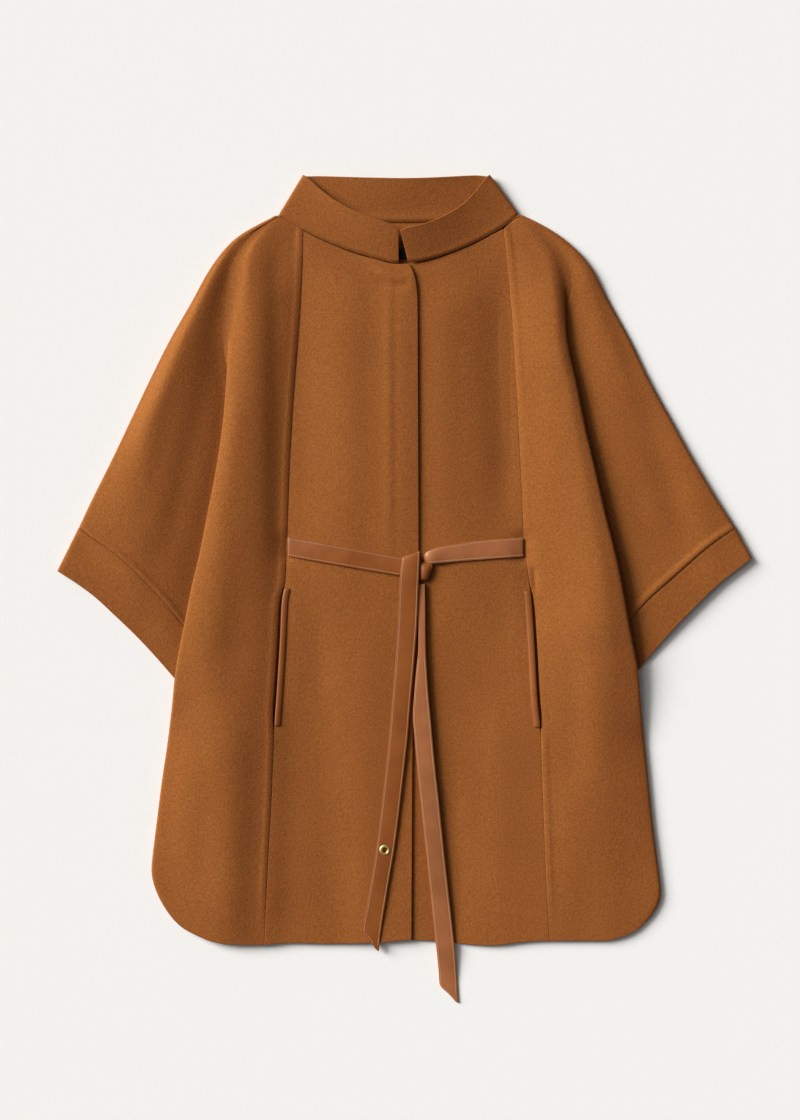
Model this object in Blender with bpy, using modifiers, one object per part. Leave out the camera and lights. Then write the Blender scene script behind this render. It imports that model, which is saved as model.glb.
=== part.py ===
"""Wool cape laid flat on a table, front up, collar towards +Y.

Lengths are in millimetres and turned to metres where a mesh is made. X runs across, Y up to the
collar, Z up from the table. Left and right are as seen from above. In a side's own tables x counts
outwards from the middle, so one function makes both sides.
"""

import math

import bmesh
import bpy
import numpy as np

MM = 0.001

# Walls and clearances
WOOL = 2.2
COLLAR_WALL = 2.6
LEATHER = 2.0
SEAM_GAP = 0.5
REST_GAP = 0.4

# Heights of the middle of each wall over the table
BACK_Z = WOOL / 2
SLEEVE_Z = BACK_Z + WOOL + 0.3
SLEEVE_CROWN_Z = 6.6
OVERARM_Z = 5.2
LAP_Z = 6.4
UNDERLAP_Z = 3.7

# Rolls of cloth, as the radius of the middle of the wall
FOLD_R = 2.0
TUCK_R = 1.7
OVERARM_R = (OVERARM_Z - BACK_Z) / 2
FOLD_IN = FOLD_R + WOOL / 2
OVERARM_IN = OVERARM_R + WOOL / 2
EDGE_TURN = 5.0
FLANK = 16.0

# Princess seam: y, x
SEAM = {
    "left": [(394, 111.4), (360, 112.2), (318, 113.9), (285, 116.1), (208, 122.1), (142, 126.0),
             (54, 129.3), (4, 131.5), (-12, 134.4), (-56, 136.6), (-100, 139.2), (-153, 142.7),
             (-227, 145.8), (-309, 150.2), (-391, 154.0)],
    "right": [(395, 109.0), (351, 113.5), (296, 118.7), (263, 120.7), (208, 123.8), (153, 126.5),
              (98, 129.3), (48, 131.2), (10, 137.0), (-9, 139.2), (-67, 143.0), (-122, 146.0),
              (-155, 149.3), (-210, 151.3), (-298, 154.6), (-386, 159.0)],
}

# Fold of the body over the sleeve: y, x of its edge, how far in the crest lies, height of the crest,
# height of the edge, depth of the tuck under it, share folded (0 is a soft rise, 1 a full tuck)
FOLD = {
    "left": [
        (412, 138.8, 6, 5.3, 5.2, 2, 0), (398, 152.0, 8, 6.0, 5.6, 3, 0),
        (384, 166.0, 8, 7.5, 6.5, 4, 0), (366, 178.0, 7, 10.0, 8.5, 6, 0),
        (340, 185.0, 5, 12.5, 10.5, 8, 0), (318, 188.7, 5, 13.5, 11.5, 9, 0.1),
        (274, 192.0, 6, 14.5, 12.0, 10, 0.4), (238, 195.3, 8, 15.0, 12.0, 11, 0.7),
        (186, 199.1, 11, 15.0, 11.5, 13, 1), (120, 209.0, 14, 14.5, 11.0, 17, 1),
        (85, 216.2, 16, 14.0, 11.0, 19, 1), (42, 224.4, 18, 13.5, 11.0, 22, 1),
        (1, 234.2, 20, 13.0, 11.0, 24, 1), (-42, 242.6, 22, 12.5, 11.0, 26, 1),
        (-70, 248.2, 24, 12.0, 11.0, 29.3, 1), (-99, 252.7, 28, 12.0, 11.0, 32, 1),
        (-122, 254.7, 32, 11.0, 10.5, 33, 1), (-150, 258.2, 36, 9.0, 6.5, 27, 1),
        (-166, 260.2, 38, 8.5, 5.1, 24, 1), (-210, 266.8, 42, 8.0, 5.1, 17, 1),
        (-254, 272.3, 44, 7.0, 5.1, 10, 1), (-293, 277.2, 44, 6.0, 5.1, 5, 1),
        (-310, 278.9, 44, 5.5, 5.1, 3.6, 1)],
    "right": [
        (412, 126.0, 6, 5.3, 5.2, 2, 0), (400, 140.0, 8, 6.0, 5.6, 3, 0),
        (386, 153.0, 8, 7.5, 6.5, 4, 0), (371, 164.0, 8, 10.0, 9.0, 6, 0.2),
        (354, 172.0, 7, 12.0, 10.5, 8, 0.5), (320, 175.5, 7, 13.5, 11.0, 9, 0.8),
        (277, 177.7, 8, 14.0, 11.0, 10, 1), (253, 182.1, 9, 14.5, 11.0, 11, 1),
        (227, 188.7, 11, 14.5, 11.0, 12, 1), (186, 196.4, 13, 14.5, 11.0, 14, 1),
        (120, 211.8, 18, 14.5, 11.0, 18, 1), (85, 219.5, 22, 14.0, 11.0, 20, 1),
        (47, 229.4, 25, 13.5, 11.0, 22, 1), (5, 238.2, 28, 13.0, 11.0, 24, 1),
        (-32, 244.8, 30, 12.5, 11.0, 26, 1), (-70, 252.5, 34, 12.0, 11.0, 30.9, 1),
        (-88, 256.2, 36, 12.0, 11.0, 33, 1), (-122, 259.1, 38, 11.0, 10.5, 33, 1),
        (-150, 261.9, 40, 9.0, 6.5, 27, 1), (-166, 263.5, 42, 8.5, 5.1, 24, 1),
        (-210, 267.9, 44, 8.0, 5.1, 17, 1), (-254, 272.3, 46, 7.0, 5.1, 10, 1),
        (-298, 277.8, 48, 6.0, 5.1, 5, 1), (-331, 282.2, 48, 5.2, 5.1, 3.6, 1)],
}

# Shoulder and overarm edge from the neck to the tip of the cuff seam: x, y
OVERARM = {
    "left": [(138.8, 411.7), (150.7, 405.9), (172.2, 394.9), (185.4, 387.2), (194.2, 377.9),
             (204.1, 366.3), (216.2, 348.7), (232.7, 317.9), (258.0, 273.9), (280.0, 229.9),
             (300.9, 185.9), (321.8, 141.9), (343.8, 97.9), (357.7, 68.2)],
    "right": [(126.0, 412.2), (148.0, 402.6), (174.4, 386.1), (197.5, 364.7), (209.6, 346.5),
              (223.9, 317.9), (248.1, 273.9), (269.0, 229.9), (293.2, 185.9), (317.4, 141.9),
              (343.8, 97.9), (363.6, 67.1)],
}

# Seam of the cuff band and its open edge, from the overarm in to the underarm: x, y
CUFF_SEAM = {
    "left": [(357.7, 68.2), (340.9, 55.0), (319.6, 40.7), (298.7, 23.1), (280.5, 4.8),
             (263.5, -13.2), (242.6, -40.0), (228.3, -59.4), (220.6, -70.0)],
    "right": [(363.6, 67.1), (347.0, 57.2), (326.2, 41.8), (305.3, 23.1), (282.8, 3.3),
              (263.5, -14.3), (246.4, -35.9), (232.7, -56.1), (223.3, -70.0)],
}
CUFF_EDGE = {
    "left": [(381.9, 20.2), (361.9, 7.7), (340.9, -7.7), (319.6, -27.5), (298.7, -47.3),
             (277.8, -69.3), (251.8, -99.0), (236.0, -116.6)],
    "right": [(381.8, 34.7), (361.4, 18.7), (347.0, 7.7), (326.2, -12.1), (305.3, -33.0),
              (290.9, -48.4), (277.2, -63.8), (256.9, -89.1), (244.8, -104.5)],
}
CUFF_INNER_Z = 3.9
CUFF_SHORT = 5.0

# Hem from the princess seam out, round the corner and up to the side seam: x, y
HEM = {
    "left": [(154.0, -390.5), (170.0, -390.5), (197.5, -389.4), (212.9, -386.7), (227.2, -380.6),
             (240.4, -374.0), (252.5, -364.1), (262.9, -350.9), (271.2, -336.6), (276.7, -322.3),
             (278.9, -310.2)],
    "right": [(159.0, -386.3), (182.0, -386.1), (220.6, -386.1), (232.1, -383.9), (244.8, -379.5),
              (255.8, -372.9), (266.8, -363.0), (274.5, -354.2), (280.0, -344.3), (282.0, -337.6),
              (282.2, -331.1)],
}
HEM_CORNER = {"left": 0.60, "right": 0.66}
HEM_Z = 3.9

# Neckline of the centre fronts: x, y (x as it is, left is minus)
NECK_LEFT = [(-111.4, 393.8), (-93.0, 383.7), (-75.4, 376.2), (-53.4, 367.4), (-31.4, 361.9),
             (-12.7, 356.6), (-6.0, 356.6), (3.4, 357.0)]
NECK_RIGHT = [(-20.4, 356.4), (3.4, 357.0), (25.3, 360.4), (52.3, 368.6), (79.8, 380.4),
              (104.0, 393.2), (109.0, 395.6)]

# Lapped front edge: y, x
FRONT_EDGE = [(358, 3.4), (354, 7.2), (347, 10.5), (333, 13.5), (318, 14.4), (208, 14.9),
              (48, 15.5), (-34, 12.7), (-122, 9.4), (-386, 7.7)]
UNDERLAP_X = -20.4

# Hem of the centre fronts: x, y
HEM_CENTRE = [(-154.0, -390.5), (-126.0, -388.3), (-82.0, -389.4), (-38.0, -388.3), (-16.0, -387.0),
              (6.0, -385.0), (28.0, -386.1), (72.0, -390.5), (94.0, -391.6), (116.0, -389.4),
              (138.0, -386.6), (159.0, -386.3)]

# Rise and fall of the centre fronts: share of the way from the seam, height
RELIEF_LEFT = [(0.0, 4.2), (0.2, 5.6), (0.45, 6.9), (0.64, 6.0), (0.74, LAP_Z), (1.0, LAP_Z)]
RELIEF_RIGHT = [(0.0, UNDERLAP_Z), (0.26, UNDERLAP_Z), (0.35, 4.8), (0.53, 6.6), (0.78, 5.2),
                (1.0, 4.2)]

# Pocket mouth in the princess seam: y of its ends, width of the slit
POCKET = {"left": (1.0, -150.0), "right": (-2.0, -152.0)}
SLIT = 2.0
FACING_WIDTH = {"left": 6.0, "right": 7.0}

# Collar band, from each front edge out to the fold over the shoulder:
# x and y of its seam, x and y of its top edge, heights of the two
COLLAR = {
    "left": [(-6.3, 359.2, -6.6, 394.0, 6.8, 11.0), (-12.0, 358.4, -10.0, 398.4, 6.8, 11.0),
             (-24.0, 361.6, -20.4, 401.5, 6.2, 11.0), (-42.0, 366.9, -38.5, 407.0, 5.6, 10.8),
             (-64.0, 373.9, -60.0, 416.6, 5.3, 10.4), (-86.0, 383.0, -79.0, 427.5, 5.3, 9.8),
             (-106.0, 393.4, -93.0, 439.0, 5.3, 9.2), (-124.0, 404.4, -103.0, 449.0, 5.3, 8.7)],
    "right": [(3.6, 361.0, -4.6, 392.6, 6.8, 11.0), (8.0, 360.0, 0.0, 395.2, 6.8, 11.0),
              (14.0, 360.4, 9.0, 397.2, 6.4, 11.0), (25.3, 362.2, 24.0, 400.2, 5.8, 11.0),
              (52.3, 370.4, 48.0, 410.8, 5.4, 10.6), (79.8, 382.4, 66.0, 422.9, 5.3, 10.0),
              (103.5, 395.4, 79.8, 438.9, 5.3, 9.2), (116.0, 405.4, 87.5, 450.0, 5.3, 8.7)],
}
# Fold of the collar: x and y of its seam and of its top edge, heights in front and behind
COLLAR_FOLD = {"left": (-138.8, 414.0, -111.7, 455.0), "right": (126.0, 414.2, 93.7, 455.1)}
COLLAR_FOLD_Z = {"seam": (5.3, 1.3), "top": (8.5, 4.1)}
# Back of the collar: x and y of its seam, x and y of its top edge, height of the top edge
COLLAR_BACK = [(-120.0, 408.4, -96.0, 453.9, 6.5), (-80.0, 404.6, -62.0, 452.4, 10.0),
               (-40.0, 403.1, -28.0, 451.2, 13.0), (0.0, 402.6, 5.0, 450.4, 14.0),
               (40.0, 403.4, 38.0, 451.8, 13.0), (80.0, 405.4, 66.0, 453.8, 10.0),
               (108.0, 408.9, 82.0, 454.8, 6.5)]
BACK_NECK = [(-120.0, 407.0), (-80.0, 403.4), (-40.0, 401.9), (0.0, 401.4),
             (40.0, 402.2), (80.0, 404.2), (108.0, 407.4)]

STUD_PLACE = (-1.2, 368.5, 4.4)
STUD_RADIUS = 6.5
STUD_HEIGHT = 1.4

# Leather runs, each row a cut across the strap: x, y on one edge, x, y on the other, height.
# A height of None lays that row on the cloth.
BELT_LEFT = [(-128.6, 57.1, -128.6, 36.4, None), (-106.0, 53.2, -106.6, 32.4, None),
             (-82.0, 48.9, -83.0, 28.3, None), (-58.0, 44.6, -59.4, 24.2, None),
             (-34.0, 40.2, -35.8, 20.1, None), (-14.0, 36.6, -16.0, 16.8, None),
             (-2.0, 34.4, -4.4, 15.0, 8.9), (7.5, 32.6, 6.6, 13.6, 8.9)]
BELT_RIGHT = [(130.8, 56.7, 130.8, 35.8, None), (112.0, 55.2, 112.0, 34.5, None),
              (96.0, 53.9, 96.0, 33.4, None), (79.3, 52.5, 79.3, 32.1, None),
              (62.0, 50.4, 61.0, 30.4, 9.2), (47.2, 48.4, 44.0, 28.8, 9.6),
              (35.0, 45.6, 34.0, 28.2, 9.9), (27.0, 43.0, 28.6, 29.0, 9.6),
              (22.6, 40.6, 24.6, 31.0, 8.2), (20.6, 39.0, 22.0, 33.0, 6.6)]
BELT_KNOT = [(17.0, 27.6, 29.0, 28.4, 8.9), (17.0, 23.0, 29.8, 24.0, 9.3),
             (17.0, 17.0, 28.0, 17.4, 9.3), (17.2, 12.0, 25.8, 12.2, 9.0),
             (17.6, 9.6, 24.6, 9.6, 8.4)]
BELT_END_LEFT = [(-2.1, 35.4, 16.8, 42.0, 10.9), (-2.5, 32.0, 16.7, 38.0, 11.8),
                 (-4.6, 16.0, 15.9, 18.0, 12.0), (-5.6, -2.0, 15.0, -2.0, 11.6),
                 (-6.8, -34.1, 13.9, -32.5, 11.0), (-9.6, -78.0, 10.7, -76.0, 10.6),
                 (-13.2, -122.0, 6.8, -120.0, 10.3), (-17.0, -166.1, 3.2, -164.0, 10.0),
                 (-21.5, -210.0, -1.6, -207.6, 9.6), (-26.2, -250.0, -6.2, -247.0, 9.3),
                 (-30.8, -286.0, -10.9, -283.0, 9.1), (-35.6, -316.0, -15.8, -312.6, 9.1),
                 (-40.6, -346.0, -20.8, -342.0, 9.1), (-45.4, -373.6, -26.0, -376.0, 9.1),
                 (-39.2, -383.0, -27.2, -387.0, 9.1), (-30.6, -396.0, -28.2, -397.6, 8.6)]
BELT_END_RIGHT = [(14.6, 6.0, 22.4, 6.0, 9.0), (15.2, -20.0, 22.7, -20.0, 9.4),
                  (15.3, -56.1, 22.9, -56.1, 10.0), (11.2, -111.1, 25.4, -108.0, 10.4),
                  (9.4, -138.6, 27.9, -136.0, 10.4), (11.0, -160.6, 29.9, -158.0, 10.3),
                  (13.2, -185.9, 32.1, -183.0, 10.1), (18.0, -233.0, 37.2, -230.0, 9.7),
                  (23.7, -286.0, 42.7, -283.0, 9.2), (29.0, -336.0, 48.2, -333.0, 8.6),
                  (33.0, -374.0, 52.4, -371.0, 8.0), (34.8, -392.0, 54.4, -389.0, 7.2),
                  (36.4, -407.0, 55.8, -405.0, 4.6), (37.6, -420.0, 56.8, -419.0, 2.2),
                  (38.5, -434.5, 57.7, -434.0, 1.05), (47.0, -443.0, 58.2, -443.0, 1.05),
                  (57.0, -454.1, 58.9, -455.1, 1.05)]

EYELET_PLACE = (-21.6, -285.8)
EYELET_RADIUS = 6.0
EYELET_HOLE = 2.7
EYELET_BARREL = 3.5
EYELET_RIM = 0.9

# Rows down the garment, as the height of each on the princess seam. Row UNDERARM meets the cuff.
ROWS = [394, 374, 348, 316, 280, 244, 208, 172, 136, 100, 64, 30, 4, -8, -40, -70,
        -94, -120, -146, -158, -182, -210, -240, -272, -310, -330, -348, -364, -378, -390.5]
NECK_STEPS = [0, 0.09, 0.18, 0.26, 0.34, 0.42, 0.48, 0.53, 0.57, 0.6, 0.62, 0.64, 0.66, 0.68, 0.7,
              0.72, 0.74, 0.76, 0.78, 0.82, 0.85, 0.88, 0.91, 0.94, 0.97, 1.0]
UNDERARM = 15
SIDE_SEAM_END = 24

WOOL_COLOUR = (0.31, 0.125, 0.037)
LEATHER_COLOUR = (0.36, 0.125, 0.045)
BRASS_COLOUR = (0.78, 0.52, 0.18)
STUD_COLOUR = (0.01, 0.01, 0.01)


def material(name, colour, roughness, metallic=0.0):
    made = bpy.data.materials.new(name)
    made.use_nodes = True
    shader = made.node_tree.nodes["Principled BSDF"]
    shader.inputs["Base Color"].default_value = (*colour, 1.0)
    shader.inputs["Roughness"].default_value = roughness
    shader.inputs["Metallic"].default_value = metallic
    made.diffuse_color = (*colour, 1.0)
    return made


def through(points):
    """A function of the first column that gives the others, smooth and with no overshoot."""
    table = np.array(sorted(points), float)
    x, y = table[:, 0], table[:, 1:]
    step = np.diff(x)[:, None]
    slope = np.diff(y, axis=0) / step
    tangent = np.zeros_like(y)
    both = slope[:-1] * slope[1:]
    whole = 3.0 * (step[:-1] + step[1:])
    weight_a = 2.0 * step[1:] + step[:-1]
    weight_b = step[1:] + 2.0 * step[:-1]
    safe = np.where(both > 0, both, 1.0)
    mean = whole * safe / (weight_a * slope[1:] + weight_b * slope[:-1] + (both <= 0))
    tangent[1:-1] = np.where(both > 0, mean, 0.0)
    tangent[0], tangent[-1] = slope[0], slope[-1]

    def value(at):
        at = min(max(at, x[0]), x[-1])
        i = min(int(np.searchsorted(x, at, side="right")) - 1, len(x) - 2)
        h = x[i + 1] - x[i]
        t = (at - x[i]) / h
        a = y[i] * (1 + 2 * t) * (1 - t) ** 2 + y[i + 1] * t * t * (3 - 2 * t)
        b = h * t * (1 - t) * (tangent[i] * (1 - t) - tangent[i + 1] * t)
        found = a + b
        return float(found[0]) if len(found) == 1 else found

    return value


def along(points):
    """A function that gives the point at a share of an outline's length."""
    points = np.array(points, float)
    length = np.concatenate([[0.0], np.cumsum(np.linalg.norm(np.diff(points, axis=0), axis=1))])
    rows = [(length[i] / length[-1], *points[i]) for i in range(len(points))]
    return through(rows)


def outline_length(points):
    return float(np.linalg.norm(np.diff(np.array(points, float), axis=0), axis=1).sum())


def ease(t):
    t = min(max(t, 0.0), 1.0)
    return t * t * (3 - 2 * t)


def mix(a, b, t):
    return a + (b - a) * t


def unit(vector):
    return vector / np.linalg.norm(vector)


def surface(name, grids, wall, sign=1.0):
    """One object from grids of points in millimetres, welded where they meet, with a wall."""
    mesh = bpy.data.meshes.new(name)
    shape = bmesh.new()
    for grid in grids:
        rows = [[shape.verts.new((sign * p[0] * MM, p[1] * MM, p[2] * MM)) for p in row]
                for row in grid]
        for upper, lower in zip(rows, rows[1:]):
            for i in range(len(upper) - 1):
                shape.faces.new((upper[i], upper[i + 1], lower[i + 1], lower[i]))
    bmesh.ops.remove_doubles(shape, verts=shape.verts, dist=1e-6)
    bmesh.ops.recalc_face_normals(shape, faces=shape.faces)
    shape.to_mesh(mesh)
    shape.free()
    made = bpy.data.objects.new(name, mesh)
    mesh.shade_smooth()
    solidify = made.modifiers.new("wall", "SOLIDIFY")
    solidify.thickness = wall * MM
    solidify.offset = 0.0
    return made


# Side fronts, each cut in one with the front of its sleeve


def pocket_slit(side, y):
    """Width by which the pocket mouth opens the seam at this height."""
    top, bottom = POCKET[side]
    return SLIT * ease((top + 4 - y) / 12.0) * ease((y - bottom + 4) / 12.0)


def body_row(seam_point, fold):
    """Points from the princess seam to the start of the fold, over the trough and the crest."""
    edge_x, crest_in, crest_z, edge_z = fold[0], fold[1], fold[2], fold[3]
    start = np.array(seam_point[:2])
    end = np.array([edge_x - FOLD_IN, fold[-1]])
    length = np.linalg.norm(end - start)
    crest = length - max(crest_in - FOLD_IN, 1.0)
    seam_z = seam_point[2]
    band = [(0.0, 0.9), (5.0, 0.8), (9.0, 0.1)]
    points = []
    for distance, rise in band:
        height = mix(seam_z, crest_z, ease(distance / crest)) + rise
        points.append((*mix(start, end, distance / length), height))
    for share in (0.36, 0.7, 1.0):
        distance = mix(9.0, crest, share)
        height = mix(seam_z, crest_z, ease(distance / crest))
        points.append((*mix(start, end, distance / length), height))
    for share in (0.5, 0.82, 1.0):
        distance = mix(crest, length, share)
        points.append((*mix(start, end, distance / length), mix(crest_z, edge_z, share ** 2)))
    return points


def fold_arc(centre_in, centre_z, radius, inwards):
    """Four steps of a half turn in the section, as (distance in from an edge, height)."""
    steps = []
    for i in range(1, 5):
        turn = math.pi * i / 4
        reach = radius * math.sin(turn)
        steps.append((centre_in + (reach if inwards else -reach), centre_z + radius * math.cos(turn)))
    return steps


def tuck_section(fold, flank, valley_z):
    """The fold's edge, the return under it and the turn back out to the sleeve."""
    edge_z, tuck, folded = fold[3], fold[4], fold[5]
    return_z = edge_z - 2 * FOLD_R
    sharp = fold_arc(FOLD_IN, edge_z - FOLD_R, FOLD_R, False)
    sharp.append(((FOLD_IN + tuck - TUCK_R) / 2, return_z))
    sharp.append((tuck - TUCK_R, return_z))
    turn_r = (return_z - SLEEVE_Z) / 2
    turn = fold_arc(tuck - TUCK_R, SLEEVE_Z + turn_r, turn_r, True)
    sharp += turn
    section = []
    for i, (inward, height) in enumerate(sharp, start=1):
        share = i / len(sharp)
        soft_in = FOLD_IN - share * (flank + FOLD_IN)
        soft_z = mix(edge_z, valley_z, ease(share))
        section.append((mix(soft_in, inward, folded), mix(soft_z, height, folded)))
    return section


def overarm_roll(point, outward):
    """The edge rolled under to the table, from the last flat point of the sleeve."""
    points = []
    for inward, height in fold_arc(OVERARM_IN, BACK_Z + OVERARM_R, OVERARM_R, False):
        points.append((*(point - outward * inward), height))
    points.append((*(point - outward * (OVERARM_IN + EDGE_TURN)), BACK_Z))
    return points


def side_front_grids(side):
    seam = through(SEAM[side])
    fold_at = through(FOLD[side])
    overarm = along(OVERARM[side])
    cuff = along(CUFF_SEAM[side][::-1])
    cuff_end = 1 - OVERARM_IN / outline_length(CUFF_SEAM[side])
    neck_y = OVERARM[side][0][1]
    seam_top = SEAM[side][0][0]
    hem_end = HEM[side][0]
    side_end = np.array(HEM[side][-1])

    def seam_point(row_y):
        y = mix(seam_top, hem_end[1], (ROWS[0] - row_y) / (ROWS[0] - ROWS[-1]))
        return seam(y) + SEAM_GAP / 2 + pocket_slit(side, y), y, seam_height(y)

    def fold_row(y):
        return [*fold_at(y), y]

    # Shoulder to underarm: body, fold, tuck and sleeve
    upper = []
    for i in range(UNDERARM + 1):
        share = (ROWS[0] - ROWS[i]) / (ROWS[0] - ROWS[UNDERARM])
        y = mix(neck_y, ROWS[UNDERARM], share)
        fold = fold_row(y)
        rim = overarm(share ** 0.75)
        ahead, behind = overarm(min(share ** 0.75 + 0.01, 1)), overarm(max(share ** 0.75 - 0.01, 0))
        tangent = unit(ahead - behind)
        outward = np.array([-tangent[1], tangent[0]])
        if i == 0:
            outward = unit(rim - np.array(seam_point(ROWS[0])[:2]))
        if i == UNDERARM:
            outward = unit(cuff(1.0) - cuff(cuff_end))
        rim_in = rim - outward * OVERARM_IN
        edge = np.array([fold[0], y])
        flank = min(FLANK, 0.5 * np.linalg.norm(rim_in - edge))
        valley_z = mix(OVERARM_Z + 0.8 * ease((i - 1) / 4.0), SLEEVE_Z, fold[5])
        if i == 0:
            start = np.array(seam_point(ROWS[0]))
            row = []
            for step in NECK_STEPS:
                place = mix(start, np.array([*rim_in, OVERARM_Z]), step)
                place[2] += 0.9 * ease((0.3 - step) / 0.2)
                row.append(tuple(place))
            sleeve = []
        else:
            row = body_row(seam_point(ROWS[i]), fold)
            section = tuck_section(fold, flank, valley_z)
            row += [(fold[0] - inward, y, height) for inward, height in section]
            start = np.array(row[-1][:2])
            reach = np.linalg.norm(rim_in - start)
            tucked = max(fold[4] * fold[5], 0.0) / reach
            sleeve = []
            for j in range(1, 8):
                t = j / 7
                bend = cuff(t * cuff_end) - mix(cuff(0), cuff(cuff_end), t)
                place = mix(start, rim_in, t) + bend * share ** 2
                if t < 0.55:
                    height = mix(valley_z, SLEEVE_CROWN_Z, ease((t - tucked) / (0.55 - tucked)))
                else:
                    height = mix(SLEEVE_CROWN_Z, OVERARM_Z, ease((t - 0.55) / 0.45))
                if i < 4:
                    height = mix(valley_z, OVERARM_Z, t)
                sleeve.append((*place, height))
        upper.append(row + sleeve + overarm_roll(rim, outward))

    # Underarm to the end of the side seam: body, fold and return to the seam
    middle = [upper[-1][:15]]
    for i in range(UNDERARM + 1, SIDE_SEAM_END + 1):
        share = (ROWS[UNDERARM] - ROWS[i]) / (ROWS[UNDERARM] - ROWS[SIDE_SEAM_END])
        y = mix(ROWS[UNDERARM], side_end[1], share)
        fold = fold_row(y)
        return_z = fold[3] - 2 * FOLD_R
        row = body_row(seam_point(ROWS[i]), fold)
        section = fold_arc(FOLD_IN, fold[3] - FOLD_R, FOLD_R, False)
        drop = min(10.0, (fold[4] - FOLD_IN) / 2)
        section += [(fold[4] - drop, return_z), (fold[4], BACK_Z)]
        row += [(fold[0] - inward, y, height) for inward, height in section]
        middle.append(row)

    # Below the side seam: the rounded corner of the hem
    top = [np.array(p) for p in middle[-1][:11]]
    top_out = top[-1][:2]
    corner = HEM_CORNER[side]
    hem = along(HEM[side])
    count = len(ROWS) - 1 - SIDE_SEAM_END
    shares = [np.linalg.norm(p[:2] - top[0][:2]) for p in top]
    shares = [s / shares[-1] for s in shares]
    lower = [middle[-1][:11]]
    for k in range(1, count + 1):
        down = k / count
        inner = np.array(seam_point(ROWS[SIDE_SEAM_END + k])[:2])
        outer = hem(mix(1.0, corner, down))
        row = []
        for column, (share, above) in enumerate(zip(shares, top)):
            at_foot = 0.92 * share / shares[8] if column < 9 else (0.96, 1.0)[column - 9]
            c = mix(share, at_foot, down)
            foot = hem(corner * c) if column else np.array(seam_point(ROWS[-1])[:2])
            corners = mix(mix(top[0][:2], top_out, c),
                          mix(np.array(seam_point(ROWS[-1])[:2]), hem(corner), c), down)
            across = mix(inner, outer + (top_out - side_end) * (1 - down) ** 2, c)
            place = above[:2] + (top_out - top[0][:2]) * (c - share)
            place = across + mix(place, foot, down) - corners
            row.append((*place, mix(above[2], HEM_Z, ease(down))))
        lower.append(row)
    return [upper, middle, lower]


def seam_height(y):
    """Height of the cloth along the princess seams."""
    return mix(4.2, 4.8, ease((y - 330) / 60.0)) if y > 0 else mix(4.2, 3.9, ease(-y / 380.0))


# Centre fronts


NECK_LEFT_AT = through(NECK_LEFT)
NECK_RIGHT_AT = through(NECK_RIGHT)
HEM_AT = through(HEM_CENTRE)
FRONT_EDGE_AT = through(FRONT_EDGE)
SEAM_LEFT_AT = through(SEAM["left"])
SEAM_RIGHT_AT = through(SEAM["right"])
RELIEF_LEFT_AT = through(RELIEF_LEFT)
RELIEF_RIGHT_AT = through(RELIEF_RIGHT)


def relief(y):
    """How much of the rise shows at this height: little at the neck and the hem."""
    return ease((394 - y) / 90.0) * mix(0.35, 1.0, ease((y + 392) / 130.0))


def left_front_z(x, y):
    start = -SEAM_LEFT_AT(y)
    share = (x - start) / (FRONT_EDGE_AT(y) - start)
    shape = RELIEF_LEFT_AT(share)
    flat = mix(seam_height(y), LAP_Z, ease((share - 0.5) / 0.24))
    return mix(flat, shape, relief(y))


def right_front_z(x, y):
    share = (x - UNDERLAP_X) / (SEAM_RIGHT_AT(y) - UNDERLAP_X)
    shape = RELIEF_RIGHT_AT(share)
    flat = mix(UNDERLAP_Z, seam_height(y), ease((share - 0.26) / 0.5))
    return mix(flat, shape, relief(y))


def cloth_top(x, y):
    """Height of the top face of the centre fronts."""
    if x < FRONT_EDGE_AT(y) + 1.5:
        return left_front_z(x, y) + WOOL / 2
    return right_front_z(x, y) + WOOL / 2


def centre_front(neck_at, start_x, end_x, height, shares):
    """Grid of a centre front: start_x and end_x give its long edges at a height."""
    grid = []
    for row_y in ROWS:
        down = (ROWS[0] - row_y) / (ROWS[0] - ROWS[-1])
        row = []
        for share in shares:
            top, foot = 380.0, -388.0
            for _ in range(8):
                top = neck_at(mix(start_x(top), end_x(top), share))
                foot = HEM_AT(mix(start_x(foot), end_x(foot), share))
            y = mix(top, foot, down)
            x = mix(start_x(y), end_x(y), share)
            row.append((x, y, height(x, y)))
        grid.append(row)
    return grid


def centre_front_left():
    shares = (0, 0.08, 0.2, 0.33, 0.46, 0.58, 0.67, 0.75, 0.88, 1)
    grid = centre_front(NECK_LEFT_AT, lambda y: SEAM_GAP / 2 - SEAM_LEFT_AT(y), FRONT_EDGE_AT,
                        left_front_z, shares)
    return surface("centre_front_left", [grid], WOOL)


def centre_front_right():
    shares = (0, 0.14, 0.26, 0.35, 0.44, 0.54, 0.66, 0.78, 0.9, 1)
    grid = centre_front(NECK_RIGHT_AT, lambda y: UNDERLAP_X, lambda y: SEAM_RIGHT_AT(y) - SEAM_GAP / 2,
                        right_front_z, shares)
    return surface("centre_front_right", [grid], WOOL)


# Back, flat on the table


def moved(points, distance):
    """The same line set off to its left by a distance."""
    points = np.array(points)
    step = np.diff(points, axis=0)
    normal = np.stack([-step[:, 1], step[:, 0]], axis=1)
    normal /= np.linalg.norm(normal, axis=1)[:, None]
    both = np.concatenate([normal[:1], normal[:-1] + normal[1:], normal[-1:]])
    both /= np.linalg.norm(both, axis=1)[:, None]
    return points + both * distance


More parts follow.
